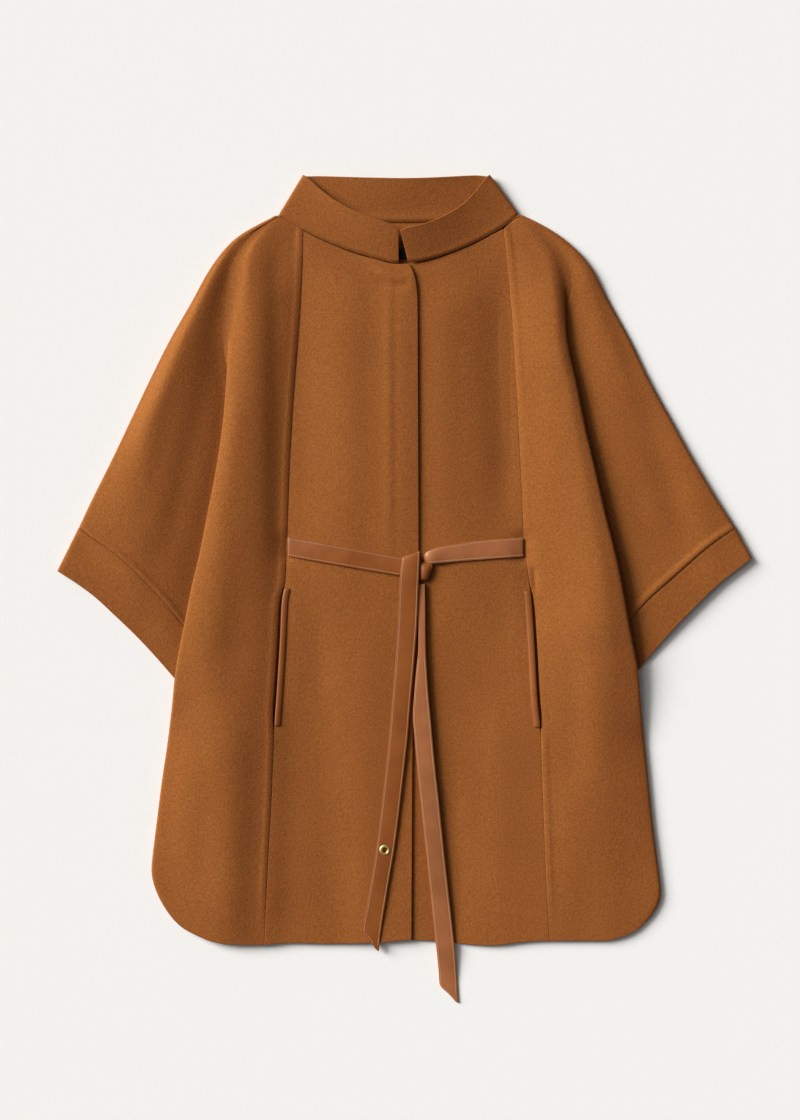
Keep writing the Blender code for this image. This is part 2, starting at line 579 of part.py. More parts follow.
def back_half(side, fronts, cuff):
    """Edge of one half of the back from the neck round to the princess seam's foot."""
    upper, middle, _ = fronts
    shoulder = moved([row[-1][:2] for row in upper], -SEAM_GAP)
    sleeve = moved([point[:2] for point in cuff[0][:11]], -SEAM_GAP - 0.3)
    underarm = sleeve[-1] + unit(sleeve[-1] - sleeve[-2]) * 3.6 + np.array([-0.6, 0.4])
    side_seam = moved([row[-1][:2] for row in middle[1:]], -SEAM_GAP)
    waist = side_seam[0] + np.array([-1.5, 22.0])
    hem = along(HEM[side])
    corner = moved([hem(1 - i / 13) for i in range(1, 14)], -1.2)
    return [*shoulder[:-1], *sleeve[1:], underarm, waist, *side_seam, *corner]


def back_panel(fronts, cuffs):
    """The back and its sleeves as one flat piece, inside the edges that the fronts roll under."""
    outline = [(x, y) for x, y in reversed(BACK_NECK)]
    outline += [(-p[0], p[1]) for p in back_half("left", fronts["left"], cuffs["left"])]
    outline += [(x, y + 1.2) for x, y in HEM_CENTRE[1:-1]]
    right = back_half("right", fronts["right"], cuffs["right"])
    outline += [(p[0], p[1]) for p in reversed(right)]
    curve = bpy.data.curves.new("back_panel", "CURVE")
    curve.dimensions = "2D"
    curve.fill_mode = "BOTH"
    curve.extrude = WOOL / 2 * MM
    spline = curve.splines.new("POLY")
    spline.points.add(len(outline) - 1)
    for point, (x, y) in zip(spline.points, outline):
        point.co = (x * MM, y * MM, 0.0, 1.0)
    spline.use_cyclic_u = True
    made = bpy.data.objects.new("back_panel", curve)
    made.location.z = BACK_Z * MM
    return made


# Cuffs


def cuff_grid(side):
    """A flattened ring: front wall, roll at the underarm, back wall, roll at the overarm."""
    seam_line, edge_line = CUFF_SEAM[side][:-1], CUFF_EDGE[side]
    seam, edge = along(seam_line), along(edge_line)
    long = (outline_length(seam_line) + outline_length(edge_line)) / 2
    inner_r = (CUFF_INNER_Z - BACK_Z) / 2
    grid = []
    for v in (0.0, 0.34, 0.67, 1.0):
        share = [mix(OVERARM_IN / long, 1 - (inner_r + WOOL / 2) / long, j / 10) for j in range(11)]
        line = np.array([mix(seam(t), edge(t), v) for t in share])
        if v == 0.0:
            line = moved(line, 0.7)
            line[:, 1] -= [1.4 * ease((j - 6) / 4.0) for j in range(11)]
        front = []
        for j in range(11):
            rise = ease(j / 4.5)
            height = mix(mix(OVERARM_Z, 6.2, rise), CUFF_INNER_Z, ease((j - 4.5) / 4.5))
            front.append((*line[j], height))
        under = [(x, y, BACK_Z) for x, y in line]
        out_way, in_way = unit(line[0] - line[1]), unit(line[-1] - line[-2])
        near, far = [], []
        for i in (1, 2, 3):
            turn = math.pi * i / 4
            for ends, end, way, radius in ((near, line[-1], in_way, inner_r),
                                           (far, line[0], out_way, OVERARM_R)):
                place = end + way * radius * math.sin(turn)
                ends.append((*place, BACK_Z + radius * (1 + math.cos(turn))))
        grid.append(front + near + under[::-1] + far[::-1] + front[:1])
    return grid


# Collar


def collar_fold(side):
    """The half turn over the shoulder, as pairs of a seam point and a top point."""
    seam_x, seam_y, top_x, top_y = COLLAR_FOLD[side]
    away = unit(np.array([top_y - seam_y, seam_x - top_x]))
    if side == "left":
        away = -away
    pairs = []
    for i in range(5):
        turn = math.pi * i / 4
        pair = []
        for place, key in (((seam_x, seam_y), "seam"), ((top_x, top_y), "top")):
            front, back = COLLAR_FOLD_Z[key]
            radius = (front - back) / 2
            inward = COLLAR_WALL / 2 + radius * (1 - math.sin(turn))
            point = np.array(place) - away * inward
            pair.append((*point, back + radius * (1 + math.cos(turn))))
        pairs.append(pair)
    return pairs


def collar():
    """One band from front edge to front edge, folded flat over both shoulders."""
    sides = {}
    for side in ("left", "right"):
        pairs = [((a, b, e), (c, d, f)) for a, b, c, d, e, f in COLLAR[side]]
        sides[side] = pairs + collar_fold(side)
    back = [((a, b, BACK_Z + 0.2), (c, d, z)) for a, b, c, d, z in COLLAR_BACK]
    ring = np.array(sides["left"] + back + sides["right"][::-1])
    grid = []
    for v in (0.0, 0.25, 0.5, 0.75, 1.0):
        grid.append([tuple(mix(foot, head, v)) for foot, head in ring])
    return surface("collar", [grid], COLLAR_WALL)


# Leather


def strap(name, cuts):
    """A flat strap through its cuts, laid on the cloth where a cut has no height of its own."""
    rows = []
    for ax, ay, bx, by, height in cuts:
        row = []
        for t in (0.0, 0.5, 1.0):
            x, y = mix(ax, bx, t), mix(ay, by, t)
            z = height
            if z is None:
                z = cloth_top(x, y) + REST_GAP + LEATHER / 2
            row.append((x, y, z))
        rows.append(row)
    return surface(name, [rows], LEATHER)


def pocket_facing(side):
    """Leather strip along the pocket mouth, on the edge of the centre front."""
    top, bottom = POCKET[side]
    sign = -1.0 if side == "left" else 1.0
    seam = through(SEAM[side])
    grid = []
    for i in range(9):
        y = mix(top, bottom, i / 8)
        outer = seam(y) - SEAM_GAP / 2 - 0.1
        row = []
        for inward in (0.0, FACING_WIDTH[side]):
            x = sign * (outer - inward)
            row.append((x, y, cloth_top(x, y) + REST_GAP + 0.8))
        grid.append(row)
    return surface("pocket_facing_" + side, [grid], 1.6)


def belt_end_left():
    """The free end with the eyelet, with the hole cut for it."""
    made = strap("belt_end_left", BELT_END_LEFT)
    bpy.ops.mesh.primitive_cylinder_add(
        vertices=24, radius=(EYELET_BARREL + 0.4) * MM, depth=20 * MM,
        location=(EYELET_PLACE[0] * MM, EYELET_PLACE[1] * MM, 9 * MM))
    cutter = bpy.context.object
    cutter.name = "eyelet_cutter"
    cut = made.modifiers.new("hole", "BOOLEAN")
    cut.object = cutter
    return made, cutter


def belt_eyelet():
    """A turned brass eyelet: a rim on top of the strap and a barrel through it."""
    middle = 9.1
    low = (middle - LEATHER / 2) * MM
    seat = (middle + LEATHER / 2 + 0.35) * MM
    top = seat + EYELET_RIM * MM
    bore, barrel, rim = EYELET_HOLE * MM, EYELET_BARREL * MM, EYELET_RADIUS * MM
    profile = [(barrel, seat), (barrel, low), (bore, low), (bore, seat), (bore + 0.0006, top),
               (rim - 0.0009, top), (rim, seat + 0.0003), (rim - 0.0002, seat)]
    mesh = bpy.data.meshes.new("belt_eyelet")
    shape = bmesh.new()
    points = [shape.verts.new((x, 0.0, z)) for x, z in profile]
    for a, b in zip(points, points[1:] + points[:1]):
        shape.edges.new((a, b))
    shape.to_mesh(mesh)
    shape.free()
    made = bpy.data.objects.new("belt_eyelet", mesh)
    made.location = (EYELET_PLACE[0] * MM, EYELET_PLACE[1] * MM, 0.0)
    turned = made.modifiers.new("turned", "SCREW")
    turned.steps = turned.render_steps = 24
    turned.use_merge_vertices = True
    turned.merge_threshold = 1e-5
    return made


def collar_stud():
    """The dark press stud in the gap of the collar."""
    mesh = bpy.data.meshes.new("collar_stud")
    shape = bmesh.new()
    bmesh.ops.create_cone(shape, cap_ends=True, segments=24, radius1=STUD_RADIUS * MM,
                          radius2=(STUD_RADIUS - 0.6) * MM, depth=STUD_HEIGHT * MM)
    shape.to_mesh(mesh)
    shape.free()
    made = bpy.data.objects.new("collar_stud", mesh)
    made.location = [value * MM for value in STUD_PLACE]
    return made


def main():
    for old in list(bpy.data.objects):
        bpy.data.objects.remove(old, do_unlink=True)
    parts = bpy.data.collections.new("wool_cape")
    cutters = bpy.data.collections.new("cutters")
    bpy.context.scene.collection.children.link(parts)
    bpy.context.scene.collection.children.link(cutters)

    fronts = {side: side_front_grids(side) for side in ("left", "right")}
    cuffs = {side: cuff_grid(side) for side in ("left", "right")}
    wool = [back_panel(fronts, cuffs), centre_front_left(), centre_front_right(), collar()]
    for side, sign in (("left", -1.0), ("right", 1.0)):
        wool.append(surface("side_front_" + side, fronts[side], WOOL, sign))
        wool.append(surface("cuff_" + side, [cuffs[side]], WOOL, sign))
    end_left, cutter = belt_end_left()
    leather = [pocket_facing("left"), pocket_facing("right"), strap("belt_left", BELT_LEFT),
               strap("belt_right", BELT_RIGHT), strap("belt_knot", BELT_KNOT), end_left,
               strap("belt_end_right", BELT_END_RIGHT)]
    finishes = (
        (wool, "double-face wool", WOOL_COLOUR, 0.95, 0.0),
        (leather, "belt leather", LEATHER_COLOUR, 0.45, 0.0),
        ([belt_eyelet()], "brass", BRASS_COLOUR, 0.3, 1.0),
        ([collar_stud()], "blackened metal", STUD_COLOUR, 0.4, 1.0))
    for pieces, name, colour, roughness, metallic in finishes:
        for piece in pieces:
            parts.objects.link(piece)
            piece.data.materials.append(material(name, colour, roughness, metallic))
    for collection in cutter.users_collection:
        collection.objects.unlink(cutter)
    cutters.objects.link(cutter)
    cutter.hide_render = True
    cutter.display_type = "WIRE"


main()
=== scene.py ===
"""Wool cape laid flat on a pale floor, seen from straight above.

Lengths in the tables are millimetres in the frame's own axes, and turned to metres where a mesh is
made. In a side's own tables x counts outwards from the middle of the cape.
"""

import math

import bmesh
import bpy
import numpy as np
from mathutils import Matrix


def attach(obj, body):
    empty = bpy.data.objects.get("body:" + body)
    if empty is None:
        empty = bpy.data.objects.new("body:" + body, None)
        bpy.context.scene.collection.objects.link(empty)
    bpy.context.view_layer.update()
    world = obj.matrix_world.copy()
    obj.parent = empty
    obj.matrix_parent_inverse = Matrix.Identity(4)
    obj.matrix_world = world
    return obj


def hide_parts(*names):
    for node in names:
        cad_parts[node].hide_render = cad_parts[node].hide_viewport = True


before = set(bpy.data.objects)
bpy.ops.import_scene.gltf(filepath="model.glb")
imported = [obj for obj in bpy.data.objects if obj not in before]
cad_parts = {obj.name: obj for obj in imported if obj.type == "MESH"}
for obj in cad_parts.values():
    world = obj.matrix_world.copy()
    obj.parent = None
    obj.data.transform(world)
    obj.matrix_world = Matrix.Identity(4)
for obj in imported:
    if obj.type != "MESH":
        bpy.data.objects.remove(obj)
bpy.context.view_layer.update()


# Centre fronts: two long panels of double-face wool, cut from the neckline to the hem.
# The left one laps over the right one down the middle, and both are hand-sewn to the side fronts.
# The cloth is 2.2 mm thick, lies soft and slightly crowned, and its edges are turned in and round.

MM = 0.001
WOOL, SEAM_GAP = 2.2, 0.12
LAP_Z, UNDERLAP_Z, UNDERLAP_X = 6.4, 3.7, -20.4
# Height up to which the cloth keeps flat, and from which it takes its creases in full
FLAT_Z, LOOSE_Z = 2.4, 4.0
# Share of its length by which a crease runs past its ends, and over which it fades
PAST, FADE = 0.15, 0.4

SEAM = {
    "left": [(394, 111.4), (360, 112.2), (318, 113.9), (285, 116.1), (208, 122.1), (142, 126),
             (54, 129.3), (4, 131.5), (-12, 134.4), (-56, 136.6), (-100, 139.2), (-153, 142.7),
             (-227, 145.8), (-309, 150.2), (-391, 154)],
    "right": [(395, 109), (351, 113.5), (296, 118.7), (263, 120.7), (208, 123.8), (153, 126.5),
              (98, 129.3), (48, 131.2), (10, 137), (-9, 139.2), (-67, 143), (-122, 146),
              (-155, 149.3), (-210, 151.3), (-298, 154.6), (-386, 159)],
}
NECK_LEFT = [(-111.4, 393.8), (-93, 383.7), (-75.4, 376.2), (-53.4, 367.4), (-31.4, 361.9),
             (-12.7, 356.6), (-6, 356.6), (3.4, 357)]
NECK_RIGHT = [(-20.4, 356.4), (3.4, 357), (25.3, 360.4), (52.3, 368.6), (79.8, 380.4),
              (104, 393.2), (109, 395.6)]
FRONT_EDGE = [(358, 3.4), (354, 7.2), (347, 10.5), (333, 13.5), (318, 14.4), (208, 14.9),
              (48, 15.5), (-34, 12.7), (-122, 9.4), (-386, 7.7)]
HEM_CENTRE = [(-154, -390.5), (-126, -388.3), (-82, -389.4), (-38, -388.3), (-16, -387),
              (6, -385), (28, -386.1), (72, -390.5), (94, -391.6), (116, -389.4),
              (138, -386.6), (159, -386.3)]
RELIEF_LEFT = [(0, 4.2), (0.2, 5.6), (0.45, 6.9), (0.64, 6), (0.74, LAP_Z), (1, LAP_Z)]
RELIEF_RIGHT = [(0, UNDERLAP_Z), (0.26, UNDERLAP_Z), (0.35, 4.8), (0.53, 6.6), (0.78, 5.2),
                (1, 4.2)]

# Soft troughs and ridges that the cloth lies in: x and y of the upper end and of the lower end,
# how far the middle of its line bows to the right, half width, height (a trough is minus)
CREASES = [
    # Left sleeve
    (-280, 54, -280, -56, 0, 20, -1.0), (-212, 250, -262, 40, 0, 16, -1.6),
    (-240, 250, -292, 60, 0, 18, -1.4), (-182, 330, -184, 200, 0, 12, -1.2),
    # Left side: the hump that runs down to the hem
    (-196, 60, -206, -60, 0, 14, 0.8), (-212, -12, -218, -232, 0, 24, 1.9),
    (-229, -188, -229, -386, 0, 26, 1.8), (-185, -100, -192, -397, 0, 33, 8.6),
    (-157, -12, -157, -188, 0, 22, 1.4), (-115, 384, -115, -1, 0, 20, -2.1),
    (-141, 384, -139, -12, 0, 13, -2.2), (-144, -122, -150, -397, 0, 18, 2.6),
    (-236, -150, -242, -330, 0, 16, 1.0), (-120, 400, -150, 330, 0, 16, -0.9),
    # Middle, above the belt: the chest stands up between the two seams
    (-58, 362, -49, 32, 0, 33, 2.2), (0, 362, 0, 32, 0, 33, 3.8), (-95, 318, -86, 54, 0, 20, -0.6),
    (107, 351, 112, 76, 0, 20, -3.6), (85, 373, 90, 175, 0, 18, -0.7), (40, 330, 44, 60, 0, 16, 1.0),
    (-71, 54, -75, -122, 0, 29, -0.6), (-82, 384, -14, 318, 0, 18, -0.6),
    (28, 318, 94, 373, 0, 18, -0.7),
    # The fastening behind the front edge, the small pleat at the collar, the belt's slits
    (-17, 348, -17, 50, 0, 5, 0.5), (-10, 340, -10, 50, 0, 4, -0.3),
    (-32, 350, 2, 341, -3, 4, 1.3), (-34, 343, 0, 331, -3, 4, -1.1), (6, 352, 10, 325, 0, 5, 0.8),
    (-131, 62, -131, 30, 0, 9, -1.6), (130, 62, 130, 28, 0, 11, -2.8),
    # Middle, below the belt
    (-102, -1, -73, -397, 0, 26, -2.0), (-42, -12, -47, -375, 0, 22, 1.5),
    (-95, -20, -95, -120, 0, 14, -0.5), (63, -1, 59, -397, 0, 26, -3.3),
    (105, 10, 105, -144, 0, 22, -1.6), (84, -20, 84, -390, 0, 18, -1.3),
    (50, -200, 60, -390, 0, 16, -1.1),
    # Right side
    (158, -34, 160, -397, 0, 33, 0.8), (205, 40, 198, -342, 0, 31, 3.0),
    (173, 384, 191, 120, 7, 22, -1.0), (140, 300, 146, 60, 0, 14, -0.8),
    (138, 43, 145, -52, 0, 13, -0.9), (142, 24, 144, -4, 0, 3, -1.2), (186, -60, 190, -220, 0, 16, -1.2),
    (176, -220, 180, -390, 0, 18, 0.7), (226, -254, 222, -408, 0, 22, 0.9),
    # Right sleeve
    (259, 230, 314, 21, 0, 26, -3.0), (215, 340, 259, 230, 0, 15, -2.0),
    (250, 120, 290, 10, 0, 16, -1.4), (270, 220, 340, 60, 0, 16, 0.9),
    (303, 120, 338, 10, 0, 18, 0.7), (120, 395, 140, 340, 0, 16, 1.0),
]


def through(points):
    """A function of the first column that gives the others, smooth and with no overshoot."""
    table = np.array(sorted(points), float)
    x, y = table[:, 0], table[:, 1:]
    step = np.diff(x)[:, None]
    slope = np.diff(y, axis=0) / step
    tangent = np.zeros_like(y)
    both = slope[:-1] * slope[1:]
    near, far = 2.0 * step[1:] + step[:-1], step[1:] + 2.0 * step[:-1]
    safe = np.where(both > 0, both, 1.0)
    mean = (near + far) * safe / (near * slope[1:] + far * slope[:-1] + (both <= 0))
    tangent[1:-1] = np.where(both > 0, mean, 0.0)
    tangent[0], tangent[-1] = slope[0], slope[-1]

    def value(at):
        at = min(max(at, x[0]), x[-1])
        i = min(int(np.searchsorted(x, at, side="right")) - 1, len(x) - 2)
        h = x[i + 1] - x[i]
        t = (at - x[i]) / h
        found = y[i] * (1 + 2 * t) * (1 - t) ** 2 + y[i + 1] * t * t * (3 - 2 * t)
        found = found + h * t * (1 - t) * (tangent[i] * (1 - t) - tangent[i + 1] * t)
        return float(found[0]) if len(found) == 1 else found

    return value


def ease(t):
    t = min(max(t, 0.0), 1.0)
    return t * t * (3 - 2 * t)


def mix(a, b, t):
    return a + (b - a) * t


def lie(points):
    """Height that the creases add at each point, in millimetres. Cloth on the floor keeps flat,
    but nothing holds a front off the back that it lies on."""
    x, y, z = points[:, 0], points[:, 1], points[:, 2]
    rise = np.zeros(len(points))
    for ax, ay, bx, by, bow, width, height in CREASES:
        run = np.array([bx - ax, by - ay])
        length = np.linalg.norm(run)
        run = run / length
        t = ((x - ax) * run[0] + (y - ay) * run[1]) / length
        off = (y - ay) * run[0] - (x - ax) * run[1] - bow * 4 * t * (1 - t)
        ends = np.clip(np.minimum(t + PAST, 1 + PAST - t) / FADE, 0, 1)
        rise += height * np.exp(-(off / width) ** 2) * ends * ends * (3 - 2 * ends)
    return rise * np.clip((z - FLAT_Z) / (LOOSE_Z - FLAT_Z), 0, 1)


def sewn_edge(row, inset=0.3):
    """The row with a point close to each end, so that its cut edges stay narrow when rounded."""
    row = [np.array(point, float) for point in row]
    first, last = row[1] - row[0], row[-2] - row[-1]
    after = row[0] + first * min(inset / max(np.linalg.norm(first), 1e-6), 0.4)
    before = row[-1] + last * min(inset / max(np.linalg.norm(last), 1e-6), 0.4)
    return [row[0], after, *row[1:-1], before, row[-1]]


def mesh_of(name, shape):
    """A mesh of the shape, which is used up."""
    mesh = bpy.data.meshes.new(name)
    shape.to_mesh(mesh)
    shape.free()
    return mesh


def placed(name, data):
    """An object in the scene."""
    made = bpy.data.objects.new(name, data)
    bpy.context.scene.collection.objects.link(made)
    return made


def applied(thing):
    """A mesh of the object as its modifiers make it."""
    return bpy.data.meshes.new_from_object(thing.evaluated_get(bpy.context.evaluated_depsgraph_get()))


def skin(shape, lines, ring=False):
    """Faces between lines of vertices. In a ring, the last of a line joins its first."""
    for upper, lower in zip(lines, lines[1:]):
        for i in range(len(upper) if ring else len(upper) - 1):
            j = (i + 1) % len(upper)
            shape.faces.new((upper[i], upper[j], lower[j], lower[i]))


def cloth(name, grids, finish, wall=WOOL, sign=1.0, levels=2, creased=True):
    """A wall of cloth through grids of points, rounded, with the creases laid into it."""
    shape = bmesh.new()
    for grid in grids:
        skin(shape, [[shape.verts.new((sign * p[0], p[1], p[2])) for p in row] for row in grid])
    bmesh.ops.remove_doubles(shape, verts=shape.verts, dist=1e-3)
    bmesh.ops.recalc_face_normals(shape, faces=shape.faces)
    cut = placed(name + "_cut", mesh_of(name + "_cut", shape))
    thick = cut.modifiers.new("wall", "SOLIDIFY")
    thick.thickness, thick.offset = wall, 0.0
    smooth = cut.modifiers.new("round", "SUBSURF")
    smooth.levels = smooth.render_levels = levels
    made = applied(cut)
    bpy.data.objects.remove(cut, do_unlink=True)
    made.name = name
    points = np.empty(len(made.vertices) * 3)
    made.vertices.foreach_get("co", points)
    points = points.reshape(-1, 3)
    if creased:
        points[:, 2] += lie(points)
    points[:, 2] = np.maximum(points[:, 2], 0.0)
    made.vertices.foreach_set("co", (points * MM).ravel())
    made.shade_smooth()
    made.materials.append(finish)
    return placed(name, made)


def colour(text):
    """sRGB hex to linear."""
    parts = [int(text[i:i + 2], 16) / 255 for i in (1, 3, 5)]
    return [c / 12.92 if c < 0.04045 else ((c + 0.055) / 1.055) ** 2.4 for c in parts] + [1.0]


def node(tree, kind, settings, **links):
    """Adds a node. settings go to its properties and sockets, links join its inputs."""
    made = tree.nodes.new(kind)
    for key, value in settings.items():
        if hasattr(made, key):
            setattr(made, key, value)
        else:
            made.inputs[key].default_value = value
    for key, source in links.items():
        socket = made.inputs[int(key[1:])] if key[0] == "i" and key[1:].isdigit() else made.inputs[key]
        tree.links.new(source, socket)
    return made


def material(name, settings):
    """A material with these settings on its shader's sockets."""
    made = bpy.data.materials.new(name)
    made.use_nodes = True
    for key, value in settings.items():
        made.node_tree.nodes["Principled BSDF"].inputs[key].default_value = value
    return made


def two_tone(tree, dark, light, source):
    """A ramp from a darker to a lighter shade over the middle of a noise."""
    made = node(tree, "ShaderNodeValToRGB", {}, Fac=source)
    ends = made.color_ramp.elements
    ends[0].position, ends[1].position = 0.3, 0.7
    ends[0].color, ends[1].color = colour(dark), colour(light)
    return made.outputs[0]


# Painted light and shade on the wool: the tint where the cloth faces away from the key light, the tint
# where it faces it, and the way towards that light
PAINTED_SHADE_TINT, PAINTED_LIGHT_TINT = (0.92, 0.82, 0.78, 1.0), (1.08, 1.16, 1.16, 1.0)
PAINTED_LIGHT_WAY = (-0.83, 0.56, 0.0)


def brushed_wool():
    """Double-face wool, woven, then milled and brushed to one side: matt, with a short nap that
    hides the weave, a fine mottle of fibre tufts and a faint bloom of light on what slopes. Its colour
    also carries painted light and shade: lighter and more golden where the cloth faces the key light,
    darker and redder where it faces away."""
    made = material("brushed double-face wool", {
        "Roughness": 0.92, "Specular IOR Level": 0.2, "Sheen Weight": 0.12, "Sheen Roughness": 0.5,
        "Sheen Tint": colour("#e6c9a4")})
    tree = made.node_tree
    shader = tree.nodes["Principled BSDF"]
    place = node(tree, "ShaderNodeTexCoord", {}).outputs["Object"]
    # Tufts of nap, 1 to 2 mm across, and a faint drift of the dye over 60 mm
    tuft = node(tree, "ShaderNodeTexNoise", {"Scale": 480.0, "Detail": 3.0, "Roughness": 0.6},
                Vector=place).outputs[0]
    drift = node(tree, "ShaderNodeTexNoise", {"Scale": 17.0, "Detail": 2.0}, Vector=place).outputs[0]
    blend = node(tree, "ShaderNodeMix", {"data_type": "FLOAT", "Factor": 0.12}, A=tuft, B=drift)
    shade = two_tone(tree, "#834619", "#9f5f2a", blend.outputs[0])
    # Painted light and shade: cloth that faces the upper left, towards the key light, is painted lighter
    # # and more golden, and cloth that faces away is painted darker and redder, over the lights' own
    # shading
    normal = node(tree, "ShaderNodeNewGeometry", {}).outputs["Normal"]
    key_light_facing = node(tree, "ShaderNodeVectorMath", {"operation": "DOT_PRODUCT"}, i0=normal)
    key_light_facing.inputs[1].default_value = PAINTED_LIGHT_WAY
    # nap is the share of painted light: 0 where the cloth faces away from the key light, 1 where it
    # faces it
    nap = node(tree, "ShaderNodeMapRange", {"From Min": -0.4, "From Max": 0.4},
               Value=key_light_facing.outputs["Value"])
    tint = node(tree, "ShaderNodeMix", {"data_type": "RGBA"}, i0=nap.outputs[0])
    tint.inputs[6].default_value, tint.inputs[7].default_value = PAINTED_SHADE_TINT, PAINTED_LIGHT_TINT
    # brushed is the mottled colour with the painted light and shade multiplied in
    brushed = node(tree, "ShaderNodeMix",
                   {"data_type": "RGBA", "blend_type": "MULTIPLY", "Factor": 1.0},
                   i6=shade, i7=tint.outputs[2])
    tree.links.new(brushed.outputs[2], shader.inputs["Base Color"])
    bump = node(tree, "ShaderNodeBump", {"Strength": 0.7, "Distance": 0.0006}, Height=tuft)
    tree.links.new(bump.outputs[0], shader.inputs["Normal"])
    return made


wool = brushed_wool()
hem_at, front_edge_at = through(HEM_CENTRE), through(FRONT_EDGE)
seam_left_at, seam_right_at = through(SEAM["left"]), through(SEAM["right"])
relief_left_at, relief_right_at = through(RELIEF_LEFT), through(RELIEF_RIGHT)
# Rows down the garment, as heights on the princess seam, closer where an edge or a seam is
ROWS = [394, 393.1, 388, 374, 360, 344, 328, 312, 296, 280, 262, 244, 226, 208, 190, 172, 154, 136,
        118, 100, 82, 64, 46, 30, 16, 4, -8, -24, -40, -50, -58,
        -61.5, -64.5, -67.5, -69.2, -70, -82, -94, -107, -120, -133, -146, -158,
        -170, -182, -196, -210, -226, -242, -258, -274, -292, -310, -326, -342, -356, -368, -378,
        -386, -389.7, -390.5]
UNDERARM_ROW, SIDE_SEAM_ROW = ROWS.index(-70), ROWS.index(-310)


def seam_height(y):
    return mix(4.2, 4.8, ease((y - 330) / 60.0)) if y > 0 else mix(4.2, 3.9, ease(-y / 380.0))


def relief(y):
    """How much of the crown shows at this height: little at the neck and the hem."""
    return ease((394 - y) / 90.0) * mix(0.35, 1.0, ease((y + 392) / 130.0))


def left_front_z(x, y):
    start = -seam_left_at(y)
    share = (x - start) / (front_edge_at(y) - start)
    flat = mix(seam_height(y), LAP_Z, ease((share - 0.5) / 0.24))
    return mix(flat, relief_left_at(share), relief(y))


def right_front_z(x, y):
    share = (x - UNDERLAP_X) / (seam_right_at(y) - UNDERLAP_X)
    flat = mix(UNDERLAP_Z, seam_height(y), ease((share - 0.26) / 0.5))
    return mix(flat, relief_right_at(share), relief(y))


def centre_front(name, neck_at, start_x, end_x, height, shares):
    grid = []
    for row_y in ROWS:
        down = (ROWS[0] - row_y) / (ROWS[0] - ROWS[-1])
        row = []
        for share in shares:
            top, foot = 380.0, -388.0
            for _ in range(8):
                top = neck_at(mix(start_x(top), end_x(top), share))
                foot = hem_at(mix(start_x(foot), end_x(foot), share))
            y = mix(top, foot, down)
            x = mix(start_x(y), end_x(y), share)
            row.append((x, y, height(x, y)))
        grid.append(sewn_edge(row))
    piece = cloth(name, [grid], wool)
    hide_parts(name)
    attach(piece, "root")
    return piece


centre_left = centre_front(
    "centre_front_left", through(NECK_LEFT), lambda y: SEAM_GAP / 2 - seam_left_at(y), front_edge_at,
    left_front_z, (0, 0.08, 0.16, 0.25, 0.34, 0.43, 0.52, 0.6, 0.68, 0.75, 0.82, 0.9, 0.96, 1))
centre_right = centre_front(
    "centre_front_right", through(NECK_RIGHT), lambda y: UNDERLAP_X,
    lambda y: seam_right_at(y) - SEAM_GAP / 2, right_front_z,
    (0, 0.14, 0.26, 0.31, 0.37, 0.44, 0.52, 0.6, 0.68, 0.76, 0.84, 0.92, 1))


# Side fronts: each is one piece of the same wool with the front of its sleeve, from the princess
# seam over the shoulder to the cuff seam. The body's edge folds over the sleeve in a deep soft
# tuck, and the shoulder and overarm roll under to meet the back.

FOLD_R, TUCK_R, FLANK = 2.0, 1.7, 12.0
BACK_Z = WOOL / 2
SLEEVE_Z, SHOULDER_Z, OVERARM_Z = BACK_Z + WOOL + 0.3, 5.3, 6.4
# Height of each sleeve's crown from the shoulder (0) to the cuff (1), how far from the fold it
# runs, the steepest rise to it, and the most of the sleeve's width that it may be out
SLEEVE_CROWN = {"left": ([(0, 19), (0.45, 19), (0.8, 15.5), (1, 12.5)], 84, 0.22, 0.82),
                "right": ([(0, 7.5), (1, 7.5)], 62, 0.15, 0.72)}
# How full the body swells to its crest: round on the left, straighter on the right
SWELL = {"left": 1.7, "right": 1.12}
OVERARM_R = (OVERARM_Z - BACK_Z) / 2
FOLD_IN, OVERARM_IN = FOLD_R + WOOL / 2, OVERARM_R + WOOL / 2
EDGE_TURN, SLIT, HEM_Z, SEAM_BAND = 5.0, 3.0, 3.9, 1.2
# The seam's turning shows as a band beside it: distance from the seam, rise
BAND = ((0.0, 0.1), (0.7, 0.55), (3.0, 0.85), (6.3, 0.8), (8.5, 0.05))
POCKET = {"left": (1, -150), "right": (-2, -152)}

